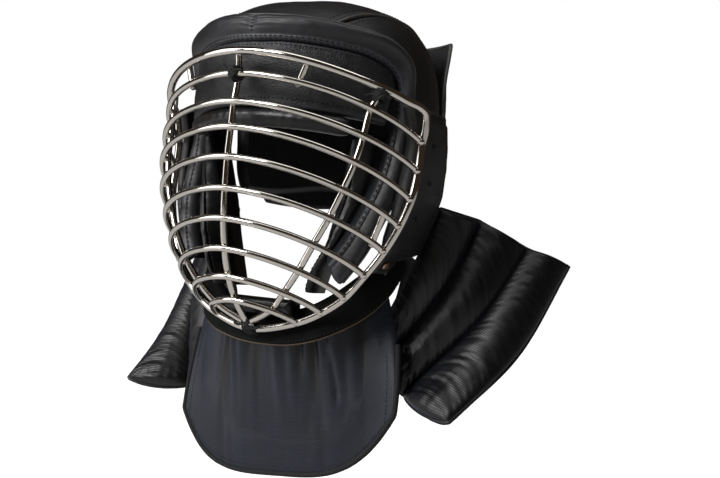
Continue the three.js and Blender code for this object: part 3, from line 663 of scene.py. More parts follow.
def buildCage():
    bag = Bag()
    loop = [rimHalf[0]] + rimHalf[1:-1] + [rimHalf[-1]] + [(-x, y, z) for x, y, z in rimHalf[-2:0:-1]]
    wrapped = loop[-3:] + loop + loop[:3]
    whole = smoothLine(wrapped)
    spans = len(wrapped) - 1
    t = np.linspace(3 / spans, (3 + len(loop)) / spans, 240, endpoint=False)
    tubeInto(bag, whole(t), cage["frameRod"] / 2, cage["sides"], closed=True)
    share = np.linspace(-1, 1, 70)
    thin = cage["barRod"] / 2
    weld = cage["weld"] * thin
    for bar in bars:
        tubeInto(bag, barPoint(bar, share), thin, cage["sides"])
        for side in (-1, 1):
            end = barPoint(bar, side * 0.985)
            blobInto(bag, end, np.eye(3) * [weld * 1.15, weld * 1.1, weld * 0.95], 12, 8)
    for side in (-1, 0, 1):
        points = uprightPoints(side)
        tubeInto(bag, smoothLine(points)(np.linspace(0, 1, 90)), thin, cage["sides"])
        for point, bar in zip(points[1:-1], bars):
            outward = unit(np.array([point[0], point[1], 0.0]))
            crossing = point + outward * cage["uprightInset"] / 2
            across = np.cross(outward, [0, 0, 1.0])
            axes = [across * weld * 0.92, outward * weld * 0.9, np.array([0, 0, weld * 0.92])]
            blobInto(bag, crossing, axes, 10, 8)
    inside = np.array([0, 3.4, -1])
    stubs = [
        (browLine(0.5 - 0.5 * cage["stubBrow"]) + inside, barPoint(bars[0], -cage["stubBar"]) + inside),
        (browLine(0.5 + 0.5 * cage["stubBrow"]) + inside, barPoint(bars[0], cage["stubBar"]) + inside),
        (barPoint(bars[3], 0.86) + inside, barPoint(bars[4], 0.88) + inside),
    ]
    for start, end in stubs:
        t = np.linspace(0, 1.12, 12)[:, None]
        tubeInto(bag, start + (end - start) * t, thin, cage["sides"])
        for middle in (start, end):
            blobInto(bag, middle - inside * 0.5, np.eye(3) * weld * 0.95, 10, 8)
    blobInto(bag, np.array(cage["chinPoint"], float), np.eye(3) * [6.5, 4.5, 3.6], 12, 8)
    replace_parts(makeTrim("cage_rods", bag, steel), "face_cage")


buildCage()
print("cage done")

# Lace knots

knots = {"laceRadius": 1.25, "loops": 3}


def loopRound(middle, across, depth, reachAcross, reachDepth, shift, drift):
    turn = np.linspace(0, 2 * math.pi, 28)[:, None]
    drifted = drift * (turn / math.pi - 1)
    return middle + shift + reachAcross * np.cos(turn) * across + reachDepth * np.sin(turn) * depth + drifted


def buildKnot(node, middle, depth, halfAcross, halfDepth, spans, tails):
    bag = Bag()
    middle = np.array(middle, float)
    depth = unit(np.array(depth, float))
    for across, along in spans:
        across = unit(np.array(across, float))
        along = unit(np.array(along, float))
        for k in range(knots["loops"]):
            shift = along * (k - 1) * knots["laceRadius"] * 1.9
            drift = along * knots["laceRadius"] * 0.8
            turn = loopRound(middle, across, depth, halfAcross, halfDepth, shift, drift)
            tubeInto(bag, turn, knots["laceRadius"], 8)
    for tail in tails:
        points = smoothLine([middle - depth * halfDepth] + [middle + np.array(p, float) for p in tail])
        tubeInto(bag, points(np.linspace(0, 1, 16)), knots["laceRadius"] * 0.9, 8)
    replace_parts(makeTrim(f"{node}_lace", bag, laceBraid), node)


brow = barPoint(bars[0], 0.0) + np.array([0, cage["uprightInset"] / 2, 0])
buildKnot("tie_brow", brow, (0, 1, 0), 5.0, 5.9, [((1, 0, 1), (1, 0, -1)), ((1, 0, -1), (1, 0, 1))],
          [[(-6, -5, 3), (-10, -5, 6)], [(5, -5.5, 2), (9.5, -5, 1.5)]])
temple = smoothLine(uprightPoints(1))(0.012) + np.array([0, -1.5, -2])
buildKnot("tie_temple", temple, (-0.5, 0.8, 0), 6.0, 6.9,
          [((1, 0.3, 0.6), (0.6, 0, -1)), ((1, 0.3, -0.6), (0.6, 0, 1))],
          [[(6, -4, 0), (11, -1, -3)], [(-6, -5, 0), (-9, -5, -1)]])
chin = np.array(cage["chinPoint"], float) + np.array([0, 3.5, -2.5])
buildKnot("tie_chin", chin, (0, 1, -0.3), 5.4, 7.2,
          [((0.35, -0.3, 1), (1, 0, 0)), ((-0.35, -0.3, 1), (1, 0, 0))],
          [[(-8, -5, 1), (-13, -4, 2)], [(8, -5, -1), (13, -4, 1)]])
print("knots done")

# Head shell

# one row per place from the middle of the brow to the jaw: outer edge x, y, z and inner edge x, y, z
bandHalf = [
    (0, -70, 97, 0, -77, 77), (38, -63, 96.5, 36, -72, 76), (70, -47, 93, 65, -57, 73),
    (101, -29, 84, 90, -36, 66), (111.5, -16, 69, 100, -21, 54), (109, -8, 48, 101.5, -18, 34),
    (106.3, -4, 12, 101, -20, 8),
    (107, -12, -20, 99, -26, -20), (102, -24, -50, 94, -36, -47), (92, -34, -80, 84, -45, -75),
    (78, -42, -104, 71, -52, -97),
]
bandOuter = smoothLine(mirrored([row[:3] for row in bandHalf]))
bandInner = smoothLine(mirrored([row[3:] for row in bandHalf]))


def bandShare(row):
    return 0.5 + 0.5 * row / (len(bandHalf) - 1)


# Moves the rim of a padded wall in, so that its edges are rolled over.
def rolledEdge(outer, inner, radius, edges="udlr"):
    distance = edgeDistance(outer, edges)
    drop = radius * (1 - roundOff(distance, radius))
    return outer + unit(inner - outer) * drop[..., None], distance


def softSkin(p, look):
    wide = dents(p, look["dentSize"], look["seed"]) * look["dent"]
    small = dents(p, look["creaseSize"], look["seed"] + 7.3) * look["crease"]
    return wide + small


def finishPad(piece, node):
    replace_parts(piece, node)


band = {
    "rows": 300, "columns": 44, "bulge": 7.2, "browThickness": 17, "sideThickness": 14, "edge": 4.5,
    "lip": 0.83, "roll": 0.7, "lipStep": 0.8, "piping": 1.35,
    "dentSize": 34, "dent": 0.9, "creaseSize": 9, "crease": 0.25, "seed": 1.7, "fill": 0.7,
    "stitch": {"spacing": 4.6, "length": 3.1, "radius": 0.5, "proud": 0.1},
    "crossStitch": {"spacing": 2.9, "length": 2.0, "radius": 0.6, "proud": 0.1},
}


def bandSurface(u, v):
    p = blendPoints(leaning(bandOuter(u)), bandInner(u), v)
    roll = np.sin(math.pi * np.clip(v / band["lip"], 0, 1)) ** band["roll"]
    seam = hump(u, 0.5, 0.005)
    pucker = 0.35 * hump(u, 0.5, 0.03) * np.sin(v * 46)
    step = band["lipStep"] * easeStep(v, band["lip"] - 0.01, band["lip"] + 0.03)
    return towardCentre(p, -(band["bulge"] * roll * (1 - 0.4 * seam) + pucker * roll + step))


def buildBand():
    u, v = grid(band["rows"], band["columns"], 0.0, 0.5)
    outer = bandSurface(u, v)
    outer = towardCentre(outer, -softSkin(outer, band))
    beside = easeStep(np.abs(2 * u - 1), 0.4, 0.6)
    inner = towardCentre(outer, mix(band["browThickness"], band["sideThickness"], beside))
    outer, distance = rolledEdge(outer, inner, band["edge"], "udlr")
    wear_and_shade = 0.5 * hump(distance, 2.5, 2.2) + 0.5 * hump(v, band["lip"], 0.02) + 0.4 * hump(u, 0.5, 0.012)
    piece = wallObject("band_padding", outer, inner, [bandVinyl, liningKnit], wear_and_shade, 1)
    finishPad(piece, "front_band")
    read = readGrid(outer, u[:, 0], v[0])
    thread = Bag()
    length = np.linspace(0.015, 0.985, 300)
    for place in (band["lip"] + 0.05, 0.955):
        stitchRow(thread, *read(length, place), band["stitch"])
    stitchRow(thread, *read(0.5, np.linspace(0.08, 0.8, 30)), band["crossStitch"])
    makeTrim("band_stitches", thread, threadBlack)
    pipe = Bag()
    u = np.linspace(0.004, 0.996, 320)
    edge = towardCentre(leaning(bandOuter(u)), -0.2)
    tubeInto(pipe, edge, band["piping"], 10, 0.75 + 0.25 * dents(edge, 12, 3.1))
    makeTrim("band_piping", pipe, pipingVinyl)


# Crown and sides: foam panels sewn together with a raised welt along each seam
shell = {
    "thickness": 16, "edge": 6, "seamRow": 1.6, "earTopRow": 5.48, "welt": 1.7, "fill": 0.8,
    "dentSize": 40, "dent": 1.0, "creaseSize": 12, "crease": 0.3, "seed": 5.2,
    "seam": [(66, -5, 110), (70, 45, 108), (66, 105, 84), (60, 140, 30), (58, 140, napeHeight)],
    "earCut": [(109, 17, 31), (109, 29, 24), (109, 32, 0), (107, 33, -25), (106, 38, napeHeight)],
    "stitch": {"spacing": 4.2, "length": 2.8, "radius": 0.5, "proud": 0.1},
}


def turned(points, side):
    return [(side * x, y, z) for x, y, z in points]


def seamLine(side):
    start = bandOuter(0.5 + side * (bandShare(shell["seamRow"]) - 0.5))
    return smoothLine([tuple(start)] + turned(shell["seam"], side))


def crownSurface():
    left, right = seamLine(-1), seamLine(1)
    front = part(bandOuter, 1 - bandShare(shell["seamRow"]), bandShare(shell["seamRow"]))
    nape = smoothLine([left(1.0), (0, 146, napeHeight), right(1.0)])
    return domePatch(front, nape, left, right)


def sideSurface(side):
    seam = seamLine(side)
    low, high = bandShare(shell["seamRow"]), bandShare(shell["earTopRow"])

    def along(t):
        return bandOuter(0.5 + side * (mix(low, high, np.asarray(t, float)) - 0.5))

    earEdge = smoothLine([tuple(along(1.0))] + turned(shell["earCut"], side))
    nape = smoothLine([seam(1.0), (side * 90, 115, napeHeight), earEdge(1.0)])
    return domePatch(along, nape, seam, earEdge)


def shellPanel(name, node, surface, rows, columns, seed):
    u, v = grid(rows, columns, 0.5, 0.4)
    outer = surface(u, v)
    outer = towardCentre(outer, -softSkin(outer, {**shell, "seed": seed}))
    inner = towardCentre(outer, shell["thickness"])
    outer, distance = rolledEdge(outer, inner, shell["edge"])
    wear_and_shade = 0.55 * hump(distance, 4.5, 3.5)
    piece = wallObject(name, outer, inner, [shellVinyl, liningKnit], wear_and_shade, 1)
    finishPad(piece, node)
    return readGrid(outer, u[:, 0], v[0])


def buildShell():
    read = shellPanel("crown_padding", "crown_panel", crownSurface(), 70, 120, 5.2)
    thread = Bag()
    along = np.linspace(0.02, 0.97, 200)
    for u in (0.075, 0.925):
        stitchRow(thread, *read(u, along), shell["stitch"])
    for side, word in ((-1, "right"), (1, "left")):
        surface = sideSurface(side)
        read = shellPanel(f"side_padding_{word}", f"side_panel_{word}", surface, 90, 110, 8.0 + side)
        stitchRow(thread, *read(0.06, along), shell["stitch"])
    makeTrim("shell_stitches", thread, threadBlack)
    welts = Bag()
    for side in (-1, 1):
        line = ontoDome(seamLine(side)(np.linspace(0.005, 0.995, 220)))
        tubeInto(welts, towardCentre(line, 0.6), shell["welt"], 10, 0.8 + 0.3 * dents(line, 14, 9.4))
    makeTrim("shell_welts", welts, pipingVinyl)


# Rear panel: a flat pad over the back of the head whose top corners stand off as two wings
rear = {
    "rows": [(101, 127, 70, 104), (88, 130, 76, 92), (62, 133, 84, 74), (30, 134, 90, 64), (0, 134, 92, 62),
             (-38, 132, 90, 62)],  # z, y in the middle, x and y at the side edge
    "gap": 1.2, "thickness": 5, "edge": 2.3, "curve": 2.2, "quilt": 1.3, "piping": 1.7, "fill": 0.5,
    "dentSize": 36, "dent": 0.9, "creaseSize": 11, "crease": 0.3, "seed": 11.0,
    "stitch": {"spacing": 4.4, "length": 3.0, "radius": 0.5, "proud": 0.1},
}


def offDome(p, gap):
    onDome = ontoDome(p)
    reach = np.linalg.norm(onDome - domeCentre, axis=-1) + gap
    far = np.linalg.norm(p - domeCentre, axis=-1) >= reach
    return np.where(far[..., None], p, towardCentre(onDome, -gap * np.ones(p.shape[:-1])))


def rearInner(u, v):
    rows = rear["rows"]
    edge = smoothLine([(x, y, z) for z, _, x, y in rows])(v)
    middle = smoothLine([(0, y, z) for z, y, _, _ in rows])(v)
    turn = mix(-1, 1, u)
    p = blendPoints(middle, edge, np.abs(turn) ** rear["curve"])
    return offDome(vec(edge[..., 0] * turn, p[..., 1], p[..., 2]), rear["gap"])


def buildRear():
    u, v = grid(130, 90, 0.4, 0.3)
    inner = rearInner(u, v)
    outer = towardCentre(inner, -rear["thickness"])
    rib = rear["quilt"] * np.abs(np.sin(math.pi * 5 * v)) ** 0.6 * (1 - np.abs(2 * u - 1) ** 8)
    outer = towardCentre(outer, -(softSkin(outer, rear) + rib - 0.5 * rear["quilt"]))
    outer, distance = rolledEdge(outer, inner, rear["edge"])
    wear_and_shade = 0.6 * hump(distance, 2.0, 2.0)
    piece = wallObject("rear_padding", outer, inner, [shellVinyl, liningTwill], wear_and_shade, 1)
    finishPad(piece, "rear_panel")
    ring = Bag()
    middle = towardCentre(inner, -rear["thickness"] / 2)
    loop = np.vstack([middle[:, 0], middle[-1, 1:], middle[-2::-1, -1], middle[0, -2:0:-1]])
    keep = evenly(np.vstack([loop, loop[:1]]), 2.4)[0]
    tubeInto(ring, keep, rear["piping"], 10, 0.55 + 0.3 * dents(keep, 12, 2.2), closed=True)
    makeTrim("rear_piping", ring, pipingVinyl)
    read = readGrid(outer, u[:, 0], v[0])
    thread = Bag()
    for place in np.arange(1, 5) / 5:
        stitchRow(thread, *read(np.linspace(0.06, 0.94, 160), place), rear["stitch"])
    makeTrim("rear_stitches", thread, threadBlack)


# Forehead panel and brow pad
forehead = {
    "centreY": -75, "sideY": -38, "halfWidth": 90, "power": 2.3, "endRow": 4, "gapToBand": 0.9,
    "lowerMiddle": 25, "lowerSide": 18, "thickness": 9, "edge": 3, "fill": 0.6,
    "dentSize": 26, "dent": 0.8, "creaseSize": 8, "crease": 0.3, "seed": 14.0,
    "stitch": {"spacing": 4.0, "length": 2.7, "radius": 0.45, "proud": 0.1},
}
browPad = {"radius": 7.5, "halfWidth": 78, "below": 8.4, "behind": 4, "fill": 0.7}


def foreheadY(x):
    share = (np.abs(x) / forehead["halfWidth"]) ** forehead["power"]
    return mix(forehead["centreY"], forehead["sideY"], share)


def foreheadLow(x):
    return mix(forehead["lowerMiddle"], forehead["lowerSide"], (x / forehead["halfWidth"]) ** 2)


def buildForehead():
    u, v = grid(170, 40, 0.3, 0.4)
    end = bandShare(forehead["endRow"])
    top = bandInner(mix(1 - end, end, u))
    x = top[..., 0]
    z = mix(top[..., 2] - forehead["gapToBand"], foreheadLow(x), v)
    outer = vec(x, mix(top[..., 1], foreheadY(x), v), z)
    swell = 1.6 * np.sin(math.pi * np.clip(v / 0.84, 0, 1)) ** 0.8
    outer = towardCentre(outer, -(softSkin(outer, forehead) + swell))
    inner = towardCentre(outer, forehead["thickness"])
    outer, distance = rolledEdge(outer, inner, forehead["edge"])
    wear_and_shade = 0.5 * hump(distance, 2.0, 1.6)
    piece = wallObject("forehead_padding", outer, inner, [foreheadVinyl, liningKnit], wear_and_shade, 1)
    finishPad(piece, "forehead_panel")
    read = readGrid(outer, u[:, 0], v[0])
    thread = Bag()
    for place in (0.87, 0.07):
        stitchRow(thread, *read(np.linspace(0.02, 0.98, 200), place), forehead["stitch"])
    makeTrim("forehead_stitches", thread, threadBlack)


def buildBrowPad():
    x = np.linspace(-browPad["halfWidth"], browPad["halfWidth"], 200)
    line = vec(x, foreheadY(x) + browPad["behind"], foreheadLow(x) - browPad["below"])
    ends = roundOff(browPad["halfWidth"] - np.abs(x), 9)
    pucker = 0.35 * np.sin(x * 0.75) * dents(line, 40, 4.0)
    bag = Bag()
    tubeInto(bag, line, browPad["radius"] * mix(0.55, 1, ends) + pucker + 0.3 * dents(line, 24, 6.0), 28)
    piece = makeObject("brow_roll", bag, [cheekVinyl])
    finishPad(piece, "brow_pad")


# Ear panels: flat leather over foam, with a bound edge, three eyelets and a riveted tab
ear = {
    "rows": [(30, -26, 20, 121.4), (21, -23, 31, 122.2), (5, -18.4, 34, 122.2), (-12, -20, 36, 121.6),
             (-34, -24, 35, 119.9), (-52, -26, 31, 116.5), (-70, -26.7, 28, 111), (-81, -26.7, 24, 109),
             (-87, -28, -2, 104.6), (-98, -27.5, -4, 97.5)],  # z, front y, rear y, x
    "thick": 9.8, "thin": 4, "dip": 2.5, "edge": 2.6, "binding": 1.5, "fill": 0.4,
    "dentSize": 30, "dent": 0.8, "creaseSize": 9, "crease": 0.22, "seed": 21.0,
    "eyelets": [(6.4, 3.5), (7.4, -25.4), (-2.5, -53.6)], "eyeletRadius": 1.9,
    "stitch": {"spacing": 3.8, "length": 2.6, "radius": 0.45, "proud": 0.1},
}
rivet = {"y": -20, "z": -91, "radius": 3.6, "height": 2.4}


def earFace(side, u, v):
    rows = ear["rows"]
    y = mix(byHeight(rows, 1, v), byHeight(rows, 2, v), u)
    x = byHeight(rows, 3, v) - ear["dip"] * u**3
    return vec(side * x, y, byHeight(rows, 0, v))


def discInto(bag, middle, normal, radius, height):
    across = unit(np.cross(normal, [0.0, 0.3, 1.0]))
    blobInto(bag, middle, [across * radius, np.cross(normal, across) * radius, normal * height], 16, 8)


def buildEar(side, word):
    u, v = grid(60, 120, 0.5, 0.3)
    outer = earFace(side, u, v)
    depth = mix(ear["thick"], ear["thin"], v**3)
    inner = outer + vec(-side * depth, 0 * u, 0 * u)
    away = np.array([side, 0.0, 0.0])
    puff = 1.1 * roundOff(edgeDistance(outer), 16) - 1.1
    outer = outer + away * (softSkin(outer, {**ear, "seed": ear["seed"] + side}) + puff)[..., None]
    outer, distance = rolledEdge(outer, inner, ear["edge"], "ulrd")
    wear_and_shade = 0.5 * hump(distance, 1.8, 1.6)
    piece = wallObject(f"ear_padding_{word}", outer, inner, [earVinyl, liningKnit], wear_and_shade, 1)
    finishPad(piece, f"ear_panel_{word}")
    read = readGrid(outer, u[:, 0], v[0], np.array([0.0, 10.0, -20.0]))
    thread = Bag()
    stitchRow(thread, *read(0.93, np.linspace(0.04, 0.97, 160)), ear["stitch"])
    stitchRow(thread, *read(np.linspace(0.05, 0.93, 60), 0.045), ear["stitch"])
    makeTrim(f"ear_stitches_{word}", thread, threadBlack)
    edge = Bag()
    middle = (outer + inner) / 2
    line = np.vstack([middle[4:, 0], middle[-1, 1:]])
    keep = evenly(line, 2.0)[0]
    tubeInto(edge, keep + away * 0.8, ear["binding"], 10, 0.55 + 0.3 * dents(keep, 14, 5.0))
    makeTrim(f"ear_edge_binding_{word}", edge, pipingVinyl)
    holes = Bag()
    for y, z in ear["eyelets"]:
        share = float(np.interp(-z, [-row[0] for row in ear["rows"]], np.linspace(0, 1, len(ear["rows"]))))
        front, back = byHeight(ear["rows"], 1, share), byHeight(ear["rows"], 2, share)
        p, n = read((y - front) / (back - front), share)
        ring = unit(np.cross(n, [0.0, 0.3, 1.0]))
        other = np.cross(n, ring)
        turn = np.linspace(0, 2 * math.pi, 20, endpoint=False)[:, None]
        circle = p + n * 0.1 + ear["eyeletRadius"] * (np.cos(turn) * ring + np.sin(turn) * other)
        tubeInto(holes, circle, 0.42, 8, closed=True)
        discInto(holes, p - n * 0.15, n, ear["eyeletRadius"] * 0.92, 0.3)
    makeTrim(f"ear_eyelets_{word}", holes, threadBlack)


def lathePoints(profile, sides):
    turn = np.linspace(0, 2 * math.pi, sides, endpoint=False)
    rings = [vec(h + 0 * turn, r * np.cos(turn), r * np.sin(turn)) for r, h in profile]
    points = np.vstack([[[profile[0][1], 0, 0]]] + rings + [[[profile[-1][1], 0, 0]]])
    faces = []
    for i in range(sides):
        j = (i + 1) % sides
        faces.append([0, 1 + i, 1 + j])
        for k in range(len(profile) - 1):
            a = 1 + k * sides
            faces.append([a + j, a + i, a + sides + i, a + sides + j])
        a = 1 + (len(profile) - 1) * sides
        faces.append([len(points) - 1, a + j, a + i])
    return points, faces


# A domed button rivet with a rolled rim and a shallow dimple
def buildRivet(side, word):
    high, low = ear["rows"][-2:]
    share = (high[0] - rivet["z"]) / (high[0] - low[0])
    tilt = math.atan2(high[3] - low[3], high[0] - low[0])
    r, h = rivet["radius"], rivet["height"]
    profile = [(0.25 * r, 0.80 * h), (0.5 * r, 0.92 * h), (0.72 * r, 0.98 * h), (0.84 * r, 0.86 * h),
               (0.95 * r, 0.66 * h), (1.0 * r, 0.42 * h), (0.98 * r, 0.2 * h), (0.86 * r, 0.0)]
    points, faces = lathePoints(profile, 28)
    points = points @ np.array(Matrix.Rotation(tilt, 3, "Y")).T
    points = points + [mix(high[3], low[3], share) + 0.35, rivet["y"], rivet["z"]]
    if side < 0:
        points = points * [-1, 1, 1]
        faces = [f[::-1] for f in faces]
    bag = Bag()
    bag.add(points, faces)
    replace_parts(makeTrim(f"tab_rivet_{word}", bag, rivetMetal), f"rivet_{word}")


# Pads inside the cage
cheek = {
    "rows": [(8, 72, -34, 88, -24), (-18, 66, -31, 86, -27), (-46, 60, -28, 81.5, -34),
             (-74, 54, -28, 71.5, -42), (-98, 45, -31, 58.5, -47),
             (-117, 38, -33, 50, -44)],  # z, inner x and y, outer x and y
    "thickness": 20, "bulge": 6.5, "sections": 3, "edge": 5, "fill": 0.55,
    "dentSize": (13, 15, 30), "dent": 1.1, "creaseSize": (12, 12, 5), "crease": 0.35, "seed": 31.0,
    "seamShare": 0.56, "stitch": {"spacing": 3.6, "length": 2.4, "radius": 0.45, "proud": 0.1},
}
chinPad = {
    "halfWidth": 36, "frontY": -51, "endY": -49, "z": -130.5, "height": 13, "thickness": 13,
    "bulge": 2.2, "edge": 3.5, "fill": 0.6,
    "dentSize": 14, "dent": 0.8, "creaseSize": 5, "crease": 0.25, "seed": 36.0,
    "stitch": {"spacing": 3.4, "length": 2.3, "radius": 0.45, "proud": 0.1},
}


def buildCheek(side, word):
    rows = cheek["rows"]
    u, v = grid(70, 130, 0.4, 0.3)
    x = mix(byHeight(rows, 1, v), byHeight(rows, 3, v), u)
    y = mix(byHeight(rows, 2, v), byHeight(rows, 4, v), u)
    sections = 0.75 + 0.25 * np.abs(np.sin(math.pi * cheek["sections"] * v + 0.25)) ** 0.55
    seam = 1 - 0.55 * hump(u, cheek["seamShare"], 0.03) * easeStep(v, 0.05, 0.15)
    bulge = cheek["bulge"] * np.sin(math.pi * u) ** 0.7 * sections * seam
    flat = vec(side * x, y, byHeight(rows, 0, v))
    calm = roundOff(edgeDistance(flat), 10)
    wrinkle = softSkin(flat, {**cheek, "seed": cheek["seed"] + side}) * calm
    outer = flat - vec(0 * u, bulge + wrinkle, 0 * u)
    inner = flat + vec(0 * u, cheek["thickness"] + 0 * u, 0 * u)
    outer, distance = rolledEdge(outer, inner, cheek["edge"])
    wear_and_shade = 0.3 * hump(distance, 3.0, 2.5)
    piece = wallObject(f"cheek_padding_{word}", outer, inner, [cheekVinyl, liningKnit], wear_and_shade, 1)
    finishPad(piece, f"cheek_pad_{word}")
    read = readGrid(outer, u[:, 0], v[0], np.array([0.0, 60.0, -40.0]))
    thread = Bag()
    stitchRow(thread, *read(cheek["seamShare"] - 0.06, np.linspace(0.06, 0.97, 120)), cheek["stitch"])
    makeTrim(f"cheek_stitches_{word}", thread, threadBlack)


def buildChinPad():
    u, v = grid(110, 36, 0.3, 0.4)
    turn = mix(-1, 1, u)
    bulge = chinPad["bulge"] * np.sin(math.pi * np.clip(v / 0.8, 0, 1)) ** 0.8
    flat = vec(chinPad["halfWidth"] * turn, mix(chinPad["frontY"], chinPad["endY"], turn**2),
               chinPad["z"] + chinPad["height"] * (0.5 - v))
    outer = flat - vec(0 * u, bulge + softSkin(flat, chinPad), 0 * u)
    inner = flat + vec(0 * u, chinPad["thickness"] + 0 * u, 0 * u)
    outer, distance = rolledEdge(outer, inner, chinPad["edge"])
    wear_and_shade = 0.4 * hump(distance, 2.2, 1.8)
    piece = wallObject("chin_padding", outer, inner, [cheekVinyl, liningKnit], wear_and_shade, 1)
    finishPad(piece, "chin_pad")
    read = readGrid(outer, u[:, 0], v[0], np.array([0.0, 60.0, -110.0]))
    thread = Bag()
    for place in (0.84, 0.93):
        stitchRow(thread, *read(np.linspace(0.03, 0.97, 120), place), chinPad["stitch"])
    makeTrim("chin_stitches", thread, threadBlack)


# Chin guard: a deep padded lip under the cage, with a tan thread along its lower edge
guard = {
    "rows": [(0, -42, -161, 0, -35.2, -136), (34, -39.5, -158.5, 34, -31.6, -130),
             (62, -35, -150, 60, -27, -117), (84, -16, -134, 80, -15, -99),
             (96, 3, -114, 89, 3, -85), (99, 14, -97, 94, 14, -76)],  # x, y, z of the lower and the upper edge
    "thickness": 7, "bulge": 3, "turnShare": 0.6, "turnY": 20, "edge": 3, "fill": 0.5,
    "dentSize": 26, "dent": 0.9, "creaseSize": 7, "crease": 0.3, "seed": 41.0,
}


def buildGuard():
    low = smoothLine(mirrored([row[:3] for row in guard["rows"]]))
    top = smoothLine(mirrored([row[3:] for row in guard["rows"]]))
    u, v = grid(220, 44, 0.2, 0.4)
    p = blendPoints(top(u), low(u), v)
    outward = unit(vec(p[..., 0] * guard["turnShare"], p[..., 1] - guard["turnY"], 0 * u))
    swell = guard["bulge"] * np.sin(math.pi * v) ** 0.8 + softSkin(p, guard)
    outer = p + outward * swell[..., None]
    inner = p - outward * (guard["thickness"] - 2)
    outer, distance = rolledEdge(outer, inner, guard["edge"])
    wear_and_shade = 0.5 * hump(distance, 2, 1.5)
    piece = wallObject("chin_guard_padding", outer, inner, [guardVinyl, liningKnit], wear_and_shade, 1)
    finishPad(piece, "chin_guard")
    edge = Bag()
    line = (outer[:, -1] + inner[:, -1]) / 2 + outward[:, -1] * 1.6
    tubeInto(edge, line[2:-2], 0.75, 8)
    makeTrim("chin_guard_edge", edge, tanEdge)
    read = readGrid(outer, u[:, 0], v[0], np.array([0.0, 20.0, -130.0]))
    thread = Bag()
    stitchRow(thread, *read(np.linspace(0.02, 0.98, 240), 0.9), cheek["stitch"])
    makeTrim("chin_guard_stitches", thread, threadBlack)


buildBand()
buildShell()
buildRear()
buildForehead()
buildBrowPad()
for side, word in ((-1, "right"), (1, "left")):
    buildEar(side, word)
    buildRivet(side, word)
    buildCheek(side, word)
buildChinPad()
buildGuard()
print("head shell and pads done")

# Throat bib: satin over thin wadding, gathered under the chin and bound with tape

bib = {
    "halfWidth": 108, "topMiddleZ": -150, "topEdgeZ": -124, "hemMiddleZ": -268, "hemCornerZ": -218,
    "hemSkew": 12, "cornerPower": 3.8, "topMiddleY": -31.2, "hemMiddleY": -8, "topEdgeY": 6, "hemEdgeY": -4,
    "narrowTop": 12, "cornerRise": 17, "cornerTuck": 9, "bindingStart": 0.3, "thickness": 4,
    "pleatDepth": 3.2, "pleats": 9, "tightPleats": 31, "tightDepth": 1.6, "streakDepth": 4.6,
    "softDepth": 1.7, "creaseDepth": 3.2, "tape": 2.3, "fill": 0.15,
    "stitch": {"spacing": 3.2, "length": 2.2, "radius": 0.4, "proud": 0.15},
}


def bibPlain(u, v):
    turn = mix(-1, 1, u)
    x = turn * (bib["halfWidth"] - bib["narrowTop"] * (1 - v) ** 2)
    across = x / bib["halfWidth"]
    hem = mix(bib["hemMiddleZ"], bib["hemCornerZ"], np.abs(across) ** bib["cornerPower"])
    hem = hem + bib["hemSkew"] * across
    rise = easeStep(np.abs(turn), 0.6, 0.95) * (1 - easeStep(v, 0, 0.25))
    x = x - np.sign(turn) * bib["cornerTuck"] * rise
    z = mix(mix(bib["topMiddleZ"], bib["topEdgeZ"], np.abs(turn) ** 3), hem, v) + bib["cornerRise"] * rise
    middleY = mix(bib["topMiddleY"], bib["hemMiddleY"], v)
    edgeY = mix(bib["topEdgeY"], bib["hemEdgeY"], v)
    return vec(x, mix(middleY, edgeY, np.abs(turn) ** 2.2), z)


# Gathers: tight pleats under the chin guard that open into soft folds and fade toward the hem
def bibFolds(u, v):
    turn = mix(-1, 1, u)
    calm = 1 - np.abs(turn) ** 6
    bunch = 0.55 + 0.9 * hump(turn, -0.47, 0.2) + 0.9 * hump(turn, 0.46, 0.17)
    wander = 0.9 * dents(vec(u * 5, v * 1.6, 0 * u), 1.0, 2.0)
    waves = np.cos(math.pi * bib["pleats"] * (u + 0.02 * wander))
    tight = np.cos(math.pi * bib["tightPleats"] * (u + 0.012 * wander + 0.02 * v))
    streak = dents(vec(u * 26, v * 1.7, 0 * u), 1.0, 4.4)
    soft = dents(vec(u * 6, v * 2.4, 0 * u), 1.0, 8.4)
    fade = (1 - v) ** 1.5
    folds = 0.8 * bib["pleatDepth"] * waves * fade + bib["tightDepth"] * tight * bunch * (1 - v) ** 3.2
    folds = folds + bib["streakDepth"] * streak * bunch * np.exp(-2.6 * v)
    folds = folds + bib["softDepth"] * soft * (0.35 + 0.65 * fade)
    crease = hump(turn, 0.56 + 0.05 * v, 0.03) * easeStep(v, 0.1, 0.25) * (1 - easeStep(v, 0.4, 0.62))
    return folds * calm + bib["creaseDepth"] * crease


